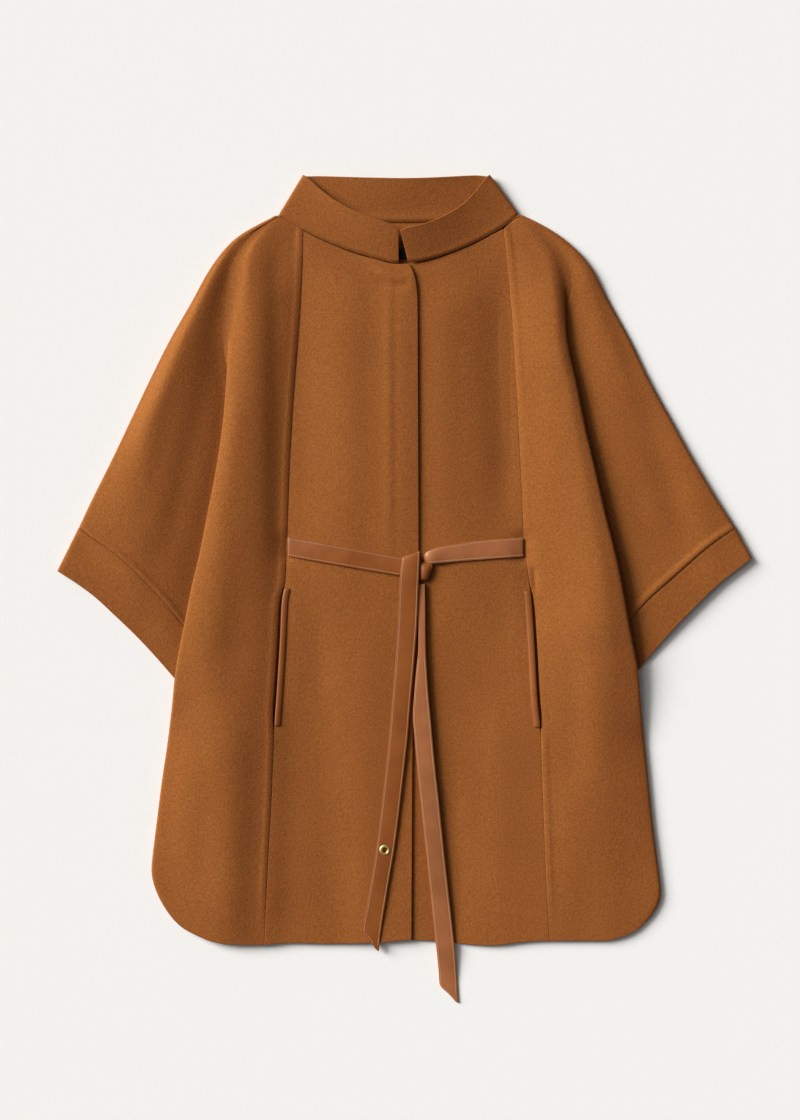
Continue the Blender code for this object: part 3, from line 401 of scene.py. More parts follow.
# Fold of the body over the sleeve: y, x of its edge, how far in its crest lies, height of the
# crest, height of the edge, depth of the tuck, share folded (0 is a soft rise, 1 a full tuck)
FOLD = {
    "left": [
        (412, 138.8, 6, 5.3, 5.2, 2, 0), (398, 152, 8, 6, 5.6, 3, 0),
        (384, 165, 8, 7.5, 7, 4, 0), (366, 176, 10, 10, 9, 6, 0),
        (340, 180, 12, 12, 9.6, 8, 0), (318, 184, 15, 13, 10, 9, 0),
        (274, 190, 20, 14.4, 10.4, 10, 0.08), (238, 194.6, 18, 15, 10.8, 11, 0.6),
        (186, 199.1, 18, 15.2, 10.9, 13, 1), (120, 209, 21, 15.2, 10.9, 17, 1),
        (85, 216.2, 22, 15, 10.4, 19, 1), (42, 224.4, 23, 14.5, 10.4, 22, 1),
        (1, 234.2, 24, 14, 10.4, 24, 1), (-42, 242.6, 26, 13, 10.4, 26, 1),
        (-70, 248.2, 28, 12.5, 10.4, 29.3, 1), (-99, 252.7, 31, 12, 10.4, 32, 1),
        (-122, 254.7, 34, 11, 10.2, 33, 1), (-150, 258.2, 38, 10, 6.5, 27, 1),
        (-166, 260.2, 40, 9, 5.1, 24, 1), (-210, 266.8, 42, 8.5, 5.1, 17, 1),
        (-254, 272.3, 44, 8, 5.1, 10, 1), (-293, 277.2, 44, 7, 5.1, 5, 1),
        (-310, 278.9, 44, 6.5, 5.1, 3.6, 1)],
    "right": [
        (412, 126, 6, 5.3, 5.2, 2, 0), (400, 140, 8, 6, 5.6, 3, 0),
        (386, 153, 10, 7, 6.2, 4, 0), (371, 164, 12, 8.8, 7.6, 6, 0),
        (354, 171, 13, 10.5, 8.6, 8, 0), (330, 174.2, 13, 13, 10.4, 9, 0.1),
        (300, 176.6, 12, 15, 12.4, 10, 0.75), (277, 177.7, 12, 15.4, 13.6, 10, 1),
        (253, 182.1, 12, 16.6, 14.4, 11, 1), (227, 188.7, 11, 16.8, 15.2, 12, 1),
        (186, 196.4, 13, 17.8, 16.4, 14, 1), (120, 211.8, 16, 19, 17.6, 18, 1),
        (85, 219.5, 18, 19.6, 18.2, 20, 1), (47, 229.4, 20, 20.2, 18.8, 22, 1),
        (5, 238.2, 22, 20.5, 19, 24, 1), (-32, 244.8, 24, 20, 18.4, 26, 1),
        (-70, 252.5, 28, 17, 15.6, 30.9, 1),
        (-88, 256.2, 31, 16, 14, 33, 1), (-122, 259.1, 35, 12.5, 10.8, 33, 1),
        (-150, 261.9, 40, 10.5, 7, 27, 1), (-166, 263.5, 42, 9.5, 5.1, 24, 1),
        (-210, 267.9, 44, 8.5, 5.1, 17, 1), (-254, 272.3, 46, 7.5, 5.1, 10, 1),
        (-298, 277.8, 48, 6.5, 5.1, 5, 1), (-331, 282.2, 48, 5.2, 5.1, 3.6, 1)],
}
OVERARM = {
    "left": [(138.8, 411.7), (150.7, 405.9), (172.2, 394.9), (185.4, 387.2), (194.2, 377.9),
             (204.1, 366.3), (216.2, 348.7), (232.7, 317.9), (258, 273.9), (280, 229.9),
             (300.9, 185.9), (321.8, 141.9), (343.8, 97.9), (357.7, 68.2)],
    "right": [(126, 412.2), (148, 402.6), (174.4, 386.1), (197.5, 364.7), (209.6, 346.5),
              (223.9, 317.9), (248.1, 273.9), (269, 229.9), (293.2, 185.9), (317.4, 141.9),
              (343.8, 97.9), (363.6, 67.1)],
}
CUFF_SEAM = {
    "left": [(357.7, 68.2), (340.9, 55), (319.6, 40.7), (298.7, 23.1), (280.5, 4.8),
             (263.5, -13.2), (242.6, -40), (228.3, -59.4), (220.6, -70)],
    "right": [(363.6, 67.1), (347, 57.2), (326.2, 41.8), (305.3, 23.1), (282.8, 3.3),
              (263.5, -14.3), (246.4, -35.9), (232.7, -56.1), (223.3, -70)],
}
HEM = {
    "left": [(154, -390.5), (170, -390.5), (197.5, -389.4), (212.9, -386.7), (227.2, -380.6),
             (240.4, -374), (252.5, -364.1), (262.9, -350.9), (271.2, -336.6), (276.7, -322.3),
             (278.9, -310.2)],
    "right": [(159, -386.3), (182, -386.1), (220.6, -386.1), (232.1, -383.9), (244.8, -379.5),
              (255.8, -372.9), (266.8, -363), (274.5, -354.2), (280, -344.3), (282, -337.6),
              (282.2, -331.1)],
}
HEM_CORNER = {"left": 0.60, "right": 0.66}
NECK_STEPS = [0, 0.05, 0.09, 0.13, 0.17, 0.22, 0.27, 0.32, 0.37, 0.42, 0.46, 0.5, 0.54, 0.57, 0.6,
              0.62, 0.64, 0.66, 0.68, 0.7, 0.72, 0.74, 0.76, 0.78, 0.8, 0.82, 0.84, 0.86, 0.88,
              0.9, 0.92, 0.94, 0.96, 0.98, 1.0]


def along(points):
    """A function that gives the point at a share of an outline's length."""
    points = np.array(points, float)
    length = np.concatenate([[0.0], np.cumsum(np.linalg.norm(np.diff(points, axis=0), axis=1))])
    return through([(length[i] / length[-1], *points[i]) for i in range(len(points))])


def outline_length(points):
    return float(np.linalg.norm(np.diff(np.array(points, float), axis=0), axis=1).sum())


def unit(vector):
    return vector / np.linalg.norm(vector)


def pocket_slit(side, y):
    """Width by which the pocket mouth opens the seam at this height."""
    top, bottom = POCKET[side]
    return SLIT * ease((top + 4 - y) / 12.0) * ease((y - bottom + 4) / 12.0)


def swell(t, side):
    """Share of the crest's height at a share of the way to it."""
    return 1 - (1 - min(t, 1.0)) ** SWELL[side]


def body_row(seam_point, fold, side):
    """From the princess seam to the start of the fold, over the trough and the crest."""
    edge_x, crest_in, crest_z, edge_z = fold[0], fold[1], fold[2], fold[3]
    start = np.array(seam_point[:2])
    end = np.array([edge_x - FOLD_IN, fold[-1]])
    length = np.linalg.norm(end - start)
    crest = length - max(crest_in - FOLD_IN, 1.0)
    points = []
    # The band fades on the right between the chest and the pocket's end
    shown = max(ease((fold[-1] - 205.0) / 40.0), ease((-150.0 - fold[-1]) / 40.0))
    band = 1.0 if side == "left" else mix(0.15, 0.9, shown)
    beyond = [(mix(BAND[-1][0], crest, share), 0.0) for share in (0.18, 0.36, 0.52, 0.68, 0.84, 1.0)]
    for distance, rise in (*BAND, *beyond):
        height = mix(seam_point[2], crest_z, swell(distance / crest, side)) + rise * band
        points.append((*mix(start, end, distance / length), height))
    for share in (0.35, 0.6, 0.82, 1.0):
        distance = mix(crest, length, share)
        points.append((*mix(start, end, distance / length), mix(crest_z, edge_z, share ** 2)))
    return points


# Points that body_row gives, and steps across a sleeve from the fold to its rim
BODY_POINTS, SLEEVE_STEPS = 15, 14


def half_turn(centre_in, centre_z, radius, inwards):
    """Four steps of a half turn in the section, as (distance in from an edge, height)."""
    steps = []
    for i in range(1, 5):
        turn = math.pi * i / 4
        reach = radius * math.sin(turn)
        steps.append((centre_in + (reach if inwards else -reach), centre_z + radius * math.cos(turn)))
    return steps


def tuck_section(fold, flank, valley_z):
    """The fold's edge, the return under it and the turn back out to the sleeve."""
    edge_z, tuck, folded = fold[3], fold[4], fold[5]
    return_z = edge_z - 2 * FOLD_R
    turn_r = (return_z - SLEEVE_Z) / 2
    sharp = half_turn(FOLD_IN, edge_z - FOLD_R, FOLD_R, False)
    sharp += [((FOLD_IN + tuck - TUCK_R) / 2, return_z), (tuck - TUCK_R, return_z)]
    sharp += half_turn(tuck - TUCK_R, SLEEVE_Z + turn_r, turn_r, True)
    section = []
    for i, (inward, height) in enumerate(sharp, start=1):
        share = i / len(sharp)
        soft_in = FOLD_IN - share * (flank + FOLD_IN)
        soft_z = mix(edge_z, valley_z, 1 - (1 - share) ** 2)
        section.append((mix(soft_in, inward, folded), mix(soft_z, height, folded)))
    return section


def side_front_grids(side):
    seam = through(SEAM[side])
    fold_at = through(FOLD[side])
    overarm = along(OVERARM[side])
    cuff = along(CUFF_SEAM[side][::-1])
    cuff_end = 1 - OVERARM_IN / outline_length(CUFF_SEAM[side])
    neck_y, seam_top = OVERARM[side][0][1], SEAM[side][0][0]
    hem_end, side_end = HEM[side][0], np.array(HEM[side][-1])

    def seam_point(row_y):
        y = mix(seam_top, hem_end[1], (ROWS[0] - row_y) / (ROWS[0] - ROWS[-1]))
        return seam(y) + SEAM_GAP / 2 + pocket_slit(side, y), y, seam_height(y)

    # Shoulder to underarm: body, fold, tuck and sleeve
    upper = []
    for i in range(UNDERARM_ROW + 1):
        share = (ROWS[0] - ROWS[i]) / (ROWS[0] - ROWS[UNDERARM_ROW])
        y = mix(neck_y, ROWS[UNDERARM_ROW], share)
        fold = [*fold_at(y), y]
        # The rows fan out along the overarm, quickly at first
        at = share ** 0.75
        rim = overarm(at)
        tangent = unit(overarm(min(at + 0.01, 1)) - overarm(max(at - 0.01, 0)))
        outward = np.array([-tangent[1], tangent[0]])
        turned = ease(share / 0.06)
        # Height of the band over the turning of the cuff seam, in the last rows of the sleeve
        near = ROWS[i] - ROWS[UNDERARM_ROW]
        band = SEAM_BAND * mix(0.4, 1.0, ease(near / 2.0)) * ease((11.0 - near) / 5.0)
        outward = unit(mix(unit(overarm(0) - np.array(seam_point(ROWS[0])[:2])), outward, turned))
        if i == UNDERARM_ROW:
            outward = unit(cuff(1.0) - cuff(cuff_end))
        rim_in = rim - outward * OVERARM_IN
        flank = min(FLANK, 0.5 * np.linalg.norm(rim_in - np.array([fold[0], y])))
        valley_z = mix(SHOULDER_Z + 0.6 * ease((share - 0.02) / 0.15), SLEEVE_Z, fold[5])
        if i == 0:
            start = np.array(seam_point(ROWS[0]))
            row = []
            for step in NECK_STEPS:
                place = mix(start, np.array([*rim_in, OVERARM_Z]), step)
                place[2] += 0.9 * ease((0.3 - step) / 0.2)
                row.append(tuple(place))
            sleeve = []
        else:
            row = body_row(seam_point(ROWS[i]), fold, side)
            row += [(fold[0] - inward, y, height)
                    for inward, height in tuck_section(fold, flank, valley_z)]
            start = np.array(row[-1][:2])
            wide = np.linalg.norm(rim_in - start)
            tucked = fold[4] * fold[5] / wide
            crowns, crown_in, rise, most = SLEEVE_CROWN[side]
            crown = tucked + min(crown_in / wide, most * (1 - tucked))
            crown_z = min(through(crowns)(share), valley_z + rise * (crown - tucked) * wide)
            sleeve = []
            for j in range(1, SLEEVE_STEPS + 1):
                t = j / SLEEVE_STEPS
                bend = cuff(t * cuff_end) - mix(cuff(0), cuff(cuff_end), t)
                place = mix(start, rim_in, t) + bend * share ** 2
                if t < crown:
                    up = max(t - tucked, 0) / (crown - tucked)
                    steep = 1 - (1 - up) ** 1.35 if side == "left" else up ** 1.3
                    up = mix(ease(up), steep, fold[5])
                    height = mix(valley_z, crown_z, up)
                else:
                    height = mix(crown_z, OVERARM_Z, ((t - crown) / (1 - crown)) ** 1.8)
                height = mix(mix(valley_z, OVERARM_Z, t), height, ease((share - 0.05) / 0.1))
                sleeve.append((*place, height + band * ease((t - tucked) / 0.1)))
        roll = [(*(rim - outward * inward), height)
                for inward, height in half_turn(OVERARM_IN, BACK_Z + OVERARM_R, OVERARM_R, False)]
        roll.append((*(rim - outward * (OVERARM_IN + EDGE_TURN)), BACK_Z))
        upper.append(row + sleeve + roll)

    # Underarm to the end of the side seam: body, fold and return to the seam
    middle = [upper[-1][:BODY_POINTS + 6]]
    for i in range(UNDERARM_ROW + 1, SIDE_SEAM_ROW + 1):
        share = (ROWS[UNDERARM_ROW] - ROWS[i]) / (ROWS[UNDERARM_ROW] - ROWS[SIDE_SEAM_ROW])
        y = mix(ROWS[UNDERARM_ROW], side_end[1], share)
        fold = [*fold_at(y), y]
        section = half_turn(FOLD_IN, fold[3] - FOLD_R, FOLD_R, False)
        drop = min(10.0, (fold[4] - FOLD_IN) / 2)
        section += [(fold[4] - drop, fold[3] - 2 * FOLD_R), (fold[4], BACK_Z)]
        row = body_row(seam_point(ROWS[i]), fold, side)
        middle.append(row + [(fold[0] - inward, y, height) for inward, height in section])

    # Below the side seam: the rounded corner of the hem
    top = [np.array(p) for p in middle[-1][:BODY_POINTS + 2]]
    foot_start = np.array(seam_point(ROWS[-1])[:2])
    corner, hem = HEM_CORNER[side], along(HEM[side])
    span = ROWS[SIDE_SEAM_ROW] - ROWS[-1]
    shares = [np.linalg.norm(p[:2] - top[0][:2]) for p in top]
    shares = [s / shares[-1] for s in shares]
    lower = [middle[-1][:BODY_POINTS + 2]]
    for row_y in ROWS[SIDE_SEAM_ROW + 1:]:
        down = (ROWS[SIDE_SEAM_ROW] - row_y) / span
        inner = np.array(seam_point(row_y)[:2])
        outer = hem(mix(1.0, corner, down)) + (top[-1][:2] - side_end) * (1 - down) ** 2
        row = []
        for column, (share, above) in enumerate(zip(shares, top)):
            last = len(shares) - 1
            at_foot = 0.92 * share / shares[last - 2] if column < last - 1 else \
                (0.96, 1.0)[column - last + 1]
            c = mix(share, at_foot, down)
            foot = hem(corner * c) if column else foot_start
            corners = mix(mix(top[0][:2], top[-1][:2], c), mix(foot_start, hem(corner), c), down)
            place = above[:2] + (top[-1][:2] - top[0][:2]) * (c - share)
            place = mix(inner, outer, c) + mix(place, foot, down) - corners
            row.append((*place, mix(above[2], HEM_Z, ease(down))))
        lower.append(row)
    return [upper, middle, lower]


SIDES = (("left", -1.0), ("right", 1.0))
side_grids = {}
for side, sign in SIDES:
    side_grids[side] = side_front_grids(side)
    piece = cloth("side_front_" + side, side_grids[side], wool, sign=sign)
    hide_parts("side_front_" + side)
    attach(piece, "root")


# Cuffs: a band of the same wool round each sleeve's end, sewn on with a lapped seam.
# The band is a ring, lying flat: front wall, roll at the underarm, back wall, roll at the overarm.

CUFF_CROWN_Z, CUFF_INNER_Z, CUFF_STEPS = 6.2, 3.9, 16
CUFF_EDGE = {
    "left": [(381.9, 20.2), (361.9, 7.7), (340.9, -7.7), (319.6, -27.5), (298.7, -47.3),
             (277.8, -69.3), (251.8, -99), (236, -116.6)],
    "right": [(381.8, 34.7), (361.4, 18.7), (347, 7.7), (326.2, -12.1), (305.3, -33),
              (290.9, -48.4), (277.2, -63.8), (256.9, -89.1), (244.8, -104.5)],
}


def moved(points, distance):
    """The same line set off to its left by a distance."""
    points = np.array(points)
    step = np.diff(points, axis=0)
    normal = np.stack([-step[:, 1], step[:, 0]], axis=1)
    normal /= np.linalg.norm(normal, axis=1)[:, None]
    both = np.concatenate([normal[:1], normal[:-1] + normal[1:], normal[-1:]])
    both /= np.linalg.norm(both, axis=1)[:, None]
    return points + both * distance


def cuff_grid(side):
    seam_line, edge_line = CUFF_SEAM[side][:-1], CUFF_EDGE[side]
    seam, edge = along(seam_line), along(edge_line)
    # The sleeve's last row, past its ten points of tuck
    sleeve_end = np.array(side_grids[side][0][-1])[BODY_POINTS + 10:BODY_POINTS + 10 + SLEEVE_STEPS]
    long = (outline_length(seam_line) + outline_length(edge_line)) / 2
    inner_r = (CUFF_INNER_Z - BACK_Z) / 2
    grid = []
    for v in (0.0, 0.018, 0.09, 0.18, 0.34, 0.5, 0.67, 0.84, 0.95, 0.985, 1.0):
        share = [mix(OVERARM_IN / long, 1 - (inner_r + WOOL / 2) / long, j / CUFF_STEPS)
                 for j in range(CUFF_STEPS + 1)]
        line = np.array([mix(seam(t), edge(t), v) for t in share])
        close = ease(1 - v / 0.3)
        line = mix(line, moved(line, 0.25), close)
        line[:, 1] -= [0.7 * close * ease((j - 10) / 6.0) for j in range(CUFF_STEPS + 1)]
        lift = 0.5 * ease(1 - abs(v - 0.07) / 0.1)
        front = []
        for j in range(CUFF_STEPS + 1):
            height = mix(OVERARM_Z, CUFF_CROWN_Z, ease(j / 7.2))
            height = mix(height, CUFF_INNER_Z, ease((j - 7.2) / 7.2))
            joined = np.interp(line[j][0], sleeve_end[:, 0], sleeve_end[:, 2]) - SEAM_BAND
            height = mix(max(joined, height), height, ease(v) if side == "left" else v)
            front.append((*line[j], height + lift))
        under = [(x, y, BACK_Z) for x, y in line]
        out_way, in_way = unit(line[0] - line[1]), unit(line[-1] - line[-2])
        near, far = [], []
        for i in (1, 2, 3):
            turn = math.pi * i / 4
            for ends, end, way, radius in ((near, line[-1], in_way, inner_r),
                                           (far, line[0], out_way, OVERARM_R)):
                place = end + way * radius * math.sin(turn)
                ends.append((*place, BACK_Z + radius * (1 + math.cos(turn))))
        grid.append(front + near + under[::-1] + far[::-1] + front[:1])
    return grid


cuff_grids = {}
for side, sign in SIDES:
    cuff_grids[side] = cuff_grid(side)
    piece = cloth("cuff_" + side, [cuff_grids[side]], wool, sign=sign)
    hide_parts("cuff_" + side)
    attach(piece, "root")


# Back: the back and both back sleeves in one flat piece of the same wool, under all the rest.
# It ends just inside the edges of the fronts, which roll under to meet it, and at the hem and the
# back of the neck it ends with them.

HEM_IN = 1.2
BACK_NECK = [(-120, 407.9), (-80, 404.2), (-40, 402.7), (0, 402.2),
             (40, 403), (80, 405), (108, 408.4)]


def back_half(side):
    upper, middle, _ = side_grids[side]
    shoulder = moved([row[-1][:2] for row in upper], -SEAM_GAP)
    sleeve = moved([point[:2] for point in cuff_grids[side][0][:CUFF_STEPS + 1]], -SEAM_GAP - 0.3)
    # Past the cuff's inner end to the underarm, and in to where the side seam starts
    underarm = sleeve[-1] + unit(sleeve[-1] - sleeve[-2]) * 3.6 + np.array([-0.6, 0.4])
    side_seam = moved([row[-1][:2] for row in middle[2:]], -SEAM_GAP)
    waist = side_seam[0] + np.array([-1.5, 22.0])
    hem = along(HEM[side])
    corner = moved([hem(1 - i / 26) for i in range(1, 27)], -HEM_IN)
    return [*shoulder[:-1], *sleeve[1:], underarm, waist, *side_seam, *corner]


outline = [(x, y) for x, y in reversed(BACK_NECK)]
outline += [(-p[0], p[1]) for p in back_half("left")]
outline += [(x, y + HEM_IN) for x, y in HEM_CENTRE[1:-1]]
outline += [(p[0], p[1]) for p in reversed(back_half("right"))]
shape = bmesh.new()
face = shape.faces.new([shape.verts.new((x * MM, y * MM, 0.0)) for x, y in outline])
if face.normal.z < 0:
    face.normal_flip()
top = bmesh.ops.extrude_face_region(shape, geom=[face])
bmesh.ops.translate(shape, vec=(0, 0, WOOL * MM),
                    verts=[v for v in top["geom"] if isinstance(v, bmesh.types.BMVert)])
bmesh.ops.recalc_face_normals(shape, faces=shape.faces)
rims = [e for e in shape.edges if len(e.link_faces) == 2
        and abs(e.link_faces[0].normal.z - e.link_faces[1].normal.z) > 0.5]
bmesh.ops.bevel(shape, geom=rims, offset=0.4 * MM, segments=3, affect="EDGES", clamp_overlap=True)
bmesh.ops.triangulate(shape, faces=[f for f in shape.faces if len(f.verts) > 4])
back = placed("back_panel", mesh_of("back_panel", shape))
back.data.materials.append(wool)
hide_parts("back_panel")
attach(back, "root")


# Collar: one stand band of the same wool, double and a little thicker, sewn round the neckline
# from front edge to front edge. It is folded flat over both shoulders and stands up a little
# in front and behind.

COLLAR_WALL = 2.6
# Lap over the neckline, what the shoulders add to it, how high the seam's turning stands behind
# and in front, and how far the foot dips into the seam on either side
NECK_LAP, SHOULDER_LAP, RIDGE_BEHIND, RIDGE_FRONT = 0.9, 2.2, 1.6, 0.6
DIP_LEFT, DIP_RIGHT = 1.7, 0.9
# x and y of its seam, x and y of its top edge, heights of the two
COLLAR = {
    "left": [(-6.3, 359.2, -6.6, 394, 8.4, 15), (-12, 358.4, -10, 398.4, 8.6, 16),
             (-24, 361.6, -20.4, 401.5, 8.6, 16.4), (-42, 366.9, -38.5, 407, 8.2, 16),
             (-64, 373.9, -60, 416.6, 7.5, 14.8), (-86, 383, -79, 427.5, 6.7, 12.8),
             (-106, 393.4, -93, 439, 5.9, 10.6), (-124, 404.4, -103, 449, 5.4, 9.2)],
    "right": [(3.6, 361, -4.6, 392.6, 8.6, 16.4), (8, 360, 0, 395.2, 8.6, 16.8),
              (14, 360.4, 9, 397.2, 8, 16.8), (25.3, 362.2, 24, 400.2, 7.5, 16.4),
              (52.3, 370.4, 48, 410.8, 6.5, 14.6), (79.8, 382.4, 66, 422.9, 5.8, 12.4),
              (103.5, 395.4, 79.8, 438.9, 5.4, 10.4), (116, 405.4, 87.5, 450, 5.3, 9)],
}
COLLAR_FOLD = {"left": (-138.8, 414, -111.7, 455), "right": (126, 414.2, 93.7, 455.1)}
COLLAR_FOLD_Z = {"seam": (5.3, 1.3), "top": (8.5, 4.1)}
COLLAR_BACK = [(-120, 408.4, -96, 453.9, 3.2), (-80, 404.6, -62, 452.4, 5.5),
               (-40, 403.1, -28, 451.2, 8.5), (0, 402.6, 5, 450.4, 10),
               (40, 403.4, 38, 451.8, 8.5), (80, 405.4, 66, 453.8, 5.5),
               (108, 408.9, 82, 454.8, 3.2)]


def collar_fold(side):
    """The half turn over the shoulder, as pairs of a seam point and a top point."""
    seam_x, seam_y, top_x, top_y = COLLAR_FOLD[side]
    away = unit(np.array([top_y - seam_y, seam_x - top_x]))
    if side == "left":
        away = -away
    pairs = []
    for i in range(5):
        turn = math.pi * i / 4
        pair = []
        for place, key in (((seam_x, seam_y), "seam"), ((top_x, top_y), "top")):
            front, behind = COLLAR_FOLD_Z[key]
            radius = (front - behind) / 2
            point = np.array(place) - away * (COLLAR_WALL / 2 + radius * (1 - math.sin(turn)))
            pair.append((*point, behind + radius * (1 + math.cos(turn))))
        pairs.append(pair)
    return pairs


sides = {}
for side in ("left", "right"):
    cuts = [((a, b, e), (c, d, f)) for a, b, c, d, e, f in COLLAR[side]]
    sides[side] = cuts + collar_fold(side)
behind = [((a, b, BACK_Z + 0.2), (c, d, z)) for a, b, c, d, z in COLLAR_BACK]
ring = np.array(sides["left"] + behind + sides["right"][::-1])
grid = []
fronts = len(sides["left"]), len(sides["left"]) + len(behind)
for v in (0.0, 0.02, 0.07, 0.14, 0.25, 0.4, 0.55, 0.7, 0.85, 0.95, 0.985, 1.0):
    line = [mix(foot, head, v) for foot, head in ring]
    for i, point in enumerate(line):
        if fronts[0] <= i < fronts[1]:
            point[2] += RIDGE_BEHIND * ease(v / 0.05) * ease((0.2 - v) / 0.12)
        else:
            outer = ease((abs(point[0]) - 90) / 35)
            point[:2] += (1 - v) * np.array([0.0, -NECK_LAP - SHOULDER_LAP * outer])
            point[2] += RIDGE_FRONT * ease(v / 0.05) * ease((0.16 - v) / 0.1)
            point[2] -= (DIP_LEFT if point[0] < 0 else DIP_RIGHT) * ease(1 - v / 0.08)
    grid.append(sewn_edge(line))
collar = cloth("collar", [grid], wool, wall=COLLAR_WALL, creased=False)
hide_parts("collar")
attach(collar, "root")


# Collar stud: the dark socket of a press stud, seen in the gap of the collar.
# Pressed steel, lacquered black, and riveted to the collar's inner face.

made = material("black lacquered steel", {
    "Base Color": colour("#0b0908"), "Roughness": 0.55, "Specular IOR Level": 0.2})
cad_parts["collar_stud"].data.materials.clear()
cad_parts["collar_stud"].data.materials.append(made)


# Pocket facings: a strip of the belt's leather along each pocket mouth, sewn to the front's edge.
# Smooth tan calf leather, dyed through and lightly polished: a fine pebbled grain and a soft gloss.

FACING_WIDTH, FACING_WALL = {"left": 6.0, "right": 7.0}, 1.6
REST_GAP = 0.4
# Section of a facing 6 mm wide: distance from the mouth, drop from its crown
FACING = ((0.0, 0.6), (0.6, 0.1), (2.0, -0.2), (3.6, 0.0), (5.2, 0.5), (6.0, 1.0))


def tan_leather(name, dark, light):
    made = material(name, {"Roughness": 0.42, "Specular IOR Level": 0.4})
    tree = made.node_tree
    shader = tree.nodes["Principled BSDF"]
    place = node(tree, "ShaderNodeTexCoord", {}).outputs["Object"]
    # Grain pores about 0.9 mm apart, drawn a little coarse to show, over shade that drifts in 25 mm
    pores = node(tree, "ShaderNodeTexVoronoi", {"Scale": 1100.0}, Vector=place).outputs["Distance"]
    drift = node(tree, "ShaderNodeTexNoise", {"Scale": 40.0, "Detail": 4.0}, Vector=place).outputs[0]
    tree.links.new(two_tone(tree, dark, light, drift), shader.inputs["Base Color"])
    bump = node(tree, "ShaderNodeBump", {"Strength": 0.25, "Distance": 0.0002}, Height=pores)
    tree.links.new(bump.outputs[0], shader.inputs["Normal"])
    return made


leather = tan_leather("smooth tan leather", "#864617", "#95531f")


def laid(x, y, z):
    """Height of a point with the creases."""
    return z + float(lie(np.array([[x, y, z]]))[0])


def cloth_top(x, y):
    """Height of the top face of the centre fronts with their creases."""
    z = left_front_z(x, y) if x < front_edge_at(y) + 1.5 else right_front_z(x, y)
    return laid(x, y, z) + WOOL / 2


for side, sign in SIDES:
    top_y, bottom_y = POCKET[side]
    seam = through(SEAM[side])
    grid = []
    for i in range(31):
        y = mix(top_y, bottom_y, i / 30)
        outer = seam(y) - SEAM_GAP / 2 - 0.1
        row = []
        for inward, dip in FACING:
            x = sign * (outer - inward * FACING_WIDTH[side] / 6.0)
            row.append((x, y, cloth_top(x, y) + REST_GAP + FACING_WALL / 2 - dip))
        grid.append(row)
    piece = cloth("pocket_facing_" + side, [grid], leather, wall=FACING_WALL, creased=False)
    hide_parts("pocket_facing_" + side)
    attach(piece, "root")


# Belt: two half belts of the same leather, caught in the princess seams, tied once in the middle.
# Each is two layers glued and stitched 1.7 mm in from its edges, 20 mm wide and 2 mm thick.

LEATHER, NARROW = 2.0, 9.0
STITCH_IN, STITCH_PITCH, STITCH_LONG = 1.7, 2.8, 1.4
# Half width and half height of the thread, and how far its middle stands out of the leather
THREAD_WIDE, THREAD_HIGH, THREAD_OUT = 0.36, 0.35, 0.05
# Each row a cut across the strap: x, y on one edge, x, y on the other, height.
# A height of None lays that row on the cloth.
STRAPS = {
    "belt_left": [
        (-128.6, 57.1, -128.6, 36.4, None), (-106, 53.2, -106.6, 32.4, None),
        (-82, 48.9, -83, 28.3, None), (-58, 44.6, -59.4, 24.2, None),
        (-34, 40.2, -35.8, 20.1, None), (-14, 36.6, -16, 16.8, None),
        (-2, 34.4, -4.4, 15, 8.9), (7.5, 32.6, 6.6, 13.6, 8.9)],
    "belt_right": [
        (130.8, 56.7, 130.8, 35.8, None), (112, 55.2, 112, 34.5, None),
        (96, 53.9, 96, 33.4, None), (79.3, 52.5, 79.3, 32.1, None),
        (60, 49.4, 61, 30.8, 9.2), (47.2, 47.4, 46, 29.4, 9.6),
        (37, 45.2, 37, 28.6, 10), (29.4, 42.9, 30.8, 28.2, 10),
        (24.6, 40.9, 26.2, 28.2, 9.2), (21.6, 38.4, 22.8, 29, 8),
        (20.2, 35.8, 20.9, 31.2, 6.6)],
    "belt_knot": [
        (17.4, 30, 29.6, 29.6, 7.6), (17, 27.4, 31, 27, 9.6),
        (17, 23, 29.8, 23.4, 9.6),
        (17, 17, 28, 17.4, 9.3), (17.2, 12, 25.8, 12.2, 9),
        (17.6, 9.6, 24.6, 9.6, 8.4)],
    "belt_end_left": [
        (-2.1, 35.4, 16.8, 42, 10.9), (-2.5, 32, 16.7, 38, 11.8),
        (-4.6, 16, 15.9, 18, 12), (-5.6, -2, 15, -2, 11.6),
        (-6.8, -34.1, 13.9, -32.5, 11), (-9.6, -78, 10.7, -76, 10.6),
        (-13.2, -122, 6.8, -120, 10.3), (-17, -166.1, 3.2, -164, 10),
        (-21.5, -210, -1.6, -207.6, 9.6), (-26.2, -250, -6.2, -247, 9.3),
        (-30.8, -286, -10.9, -283, 9.1), (-35.6, -316, -15.8, -312.6, 9.1),
        (-40.6, -346, -20.8, -342, 9), (-45.4, -373.6, -26, -376, 8.2),
        (-39.2, -383, -27.2, -387, 7.4), (-30.6, -396, -28.2, -397.6, 6.4)],
    "belt_end_right": [
        (14.6, 6, 22.4, 6, 9), (15.2, -20, 22.7, -20, 9.4),
        (15.3, -56.1, 22.9, -56.1, 10), (11.2, -111.1, 25.4, -108, 10.4),
        (9.4, -138.6, 27.9, -136, 10.4), (11, -160.6, 29.9, -158, 10.3),
        (13.2, -185.9, 32.1, -183, 10.1), (18, -233, 37.2, -230, 9.7),
        (23.7, -286, 42.7, -283, 9.2), (29, -336, 48.2, -333, 8.6),
        (33, -374, 52.4, -371, 8), (34.8, -392, 54.4, -389, 7.2),
        (36.4, -407, 55.8, -405, 4.6), (37.6, -420, 56.8, -419, 2.2),
        (38.5, -434.5, 57.7, -434, 1.05), (47, -443, 58.2, -443, 1.05),
        (57, -454.1, 58.9, -455.1, 1.05)],
}
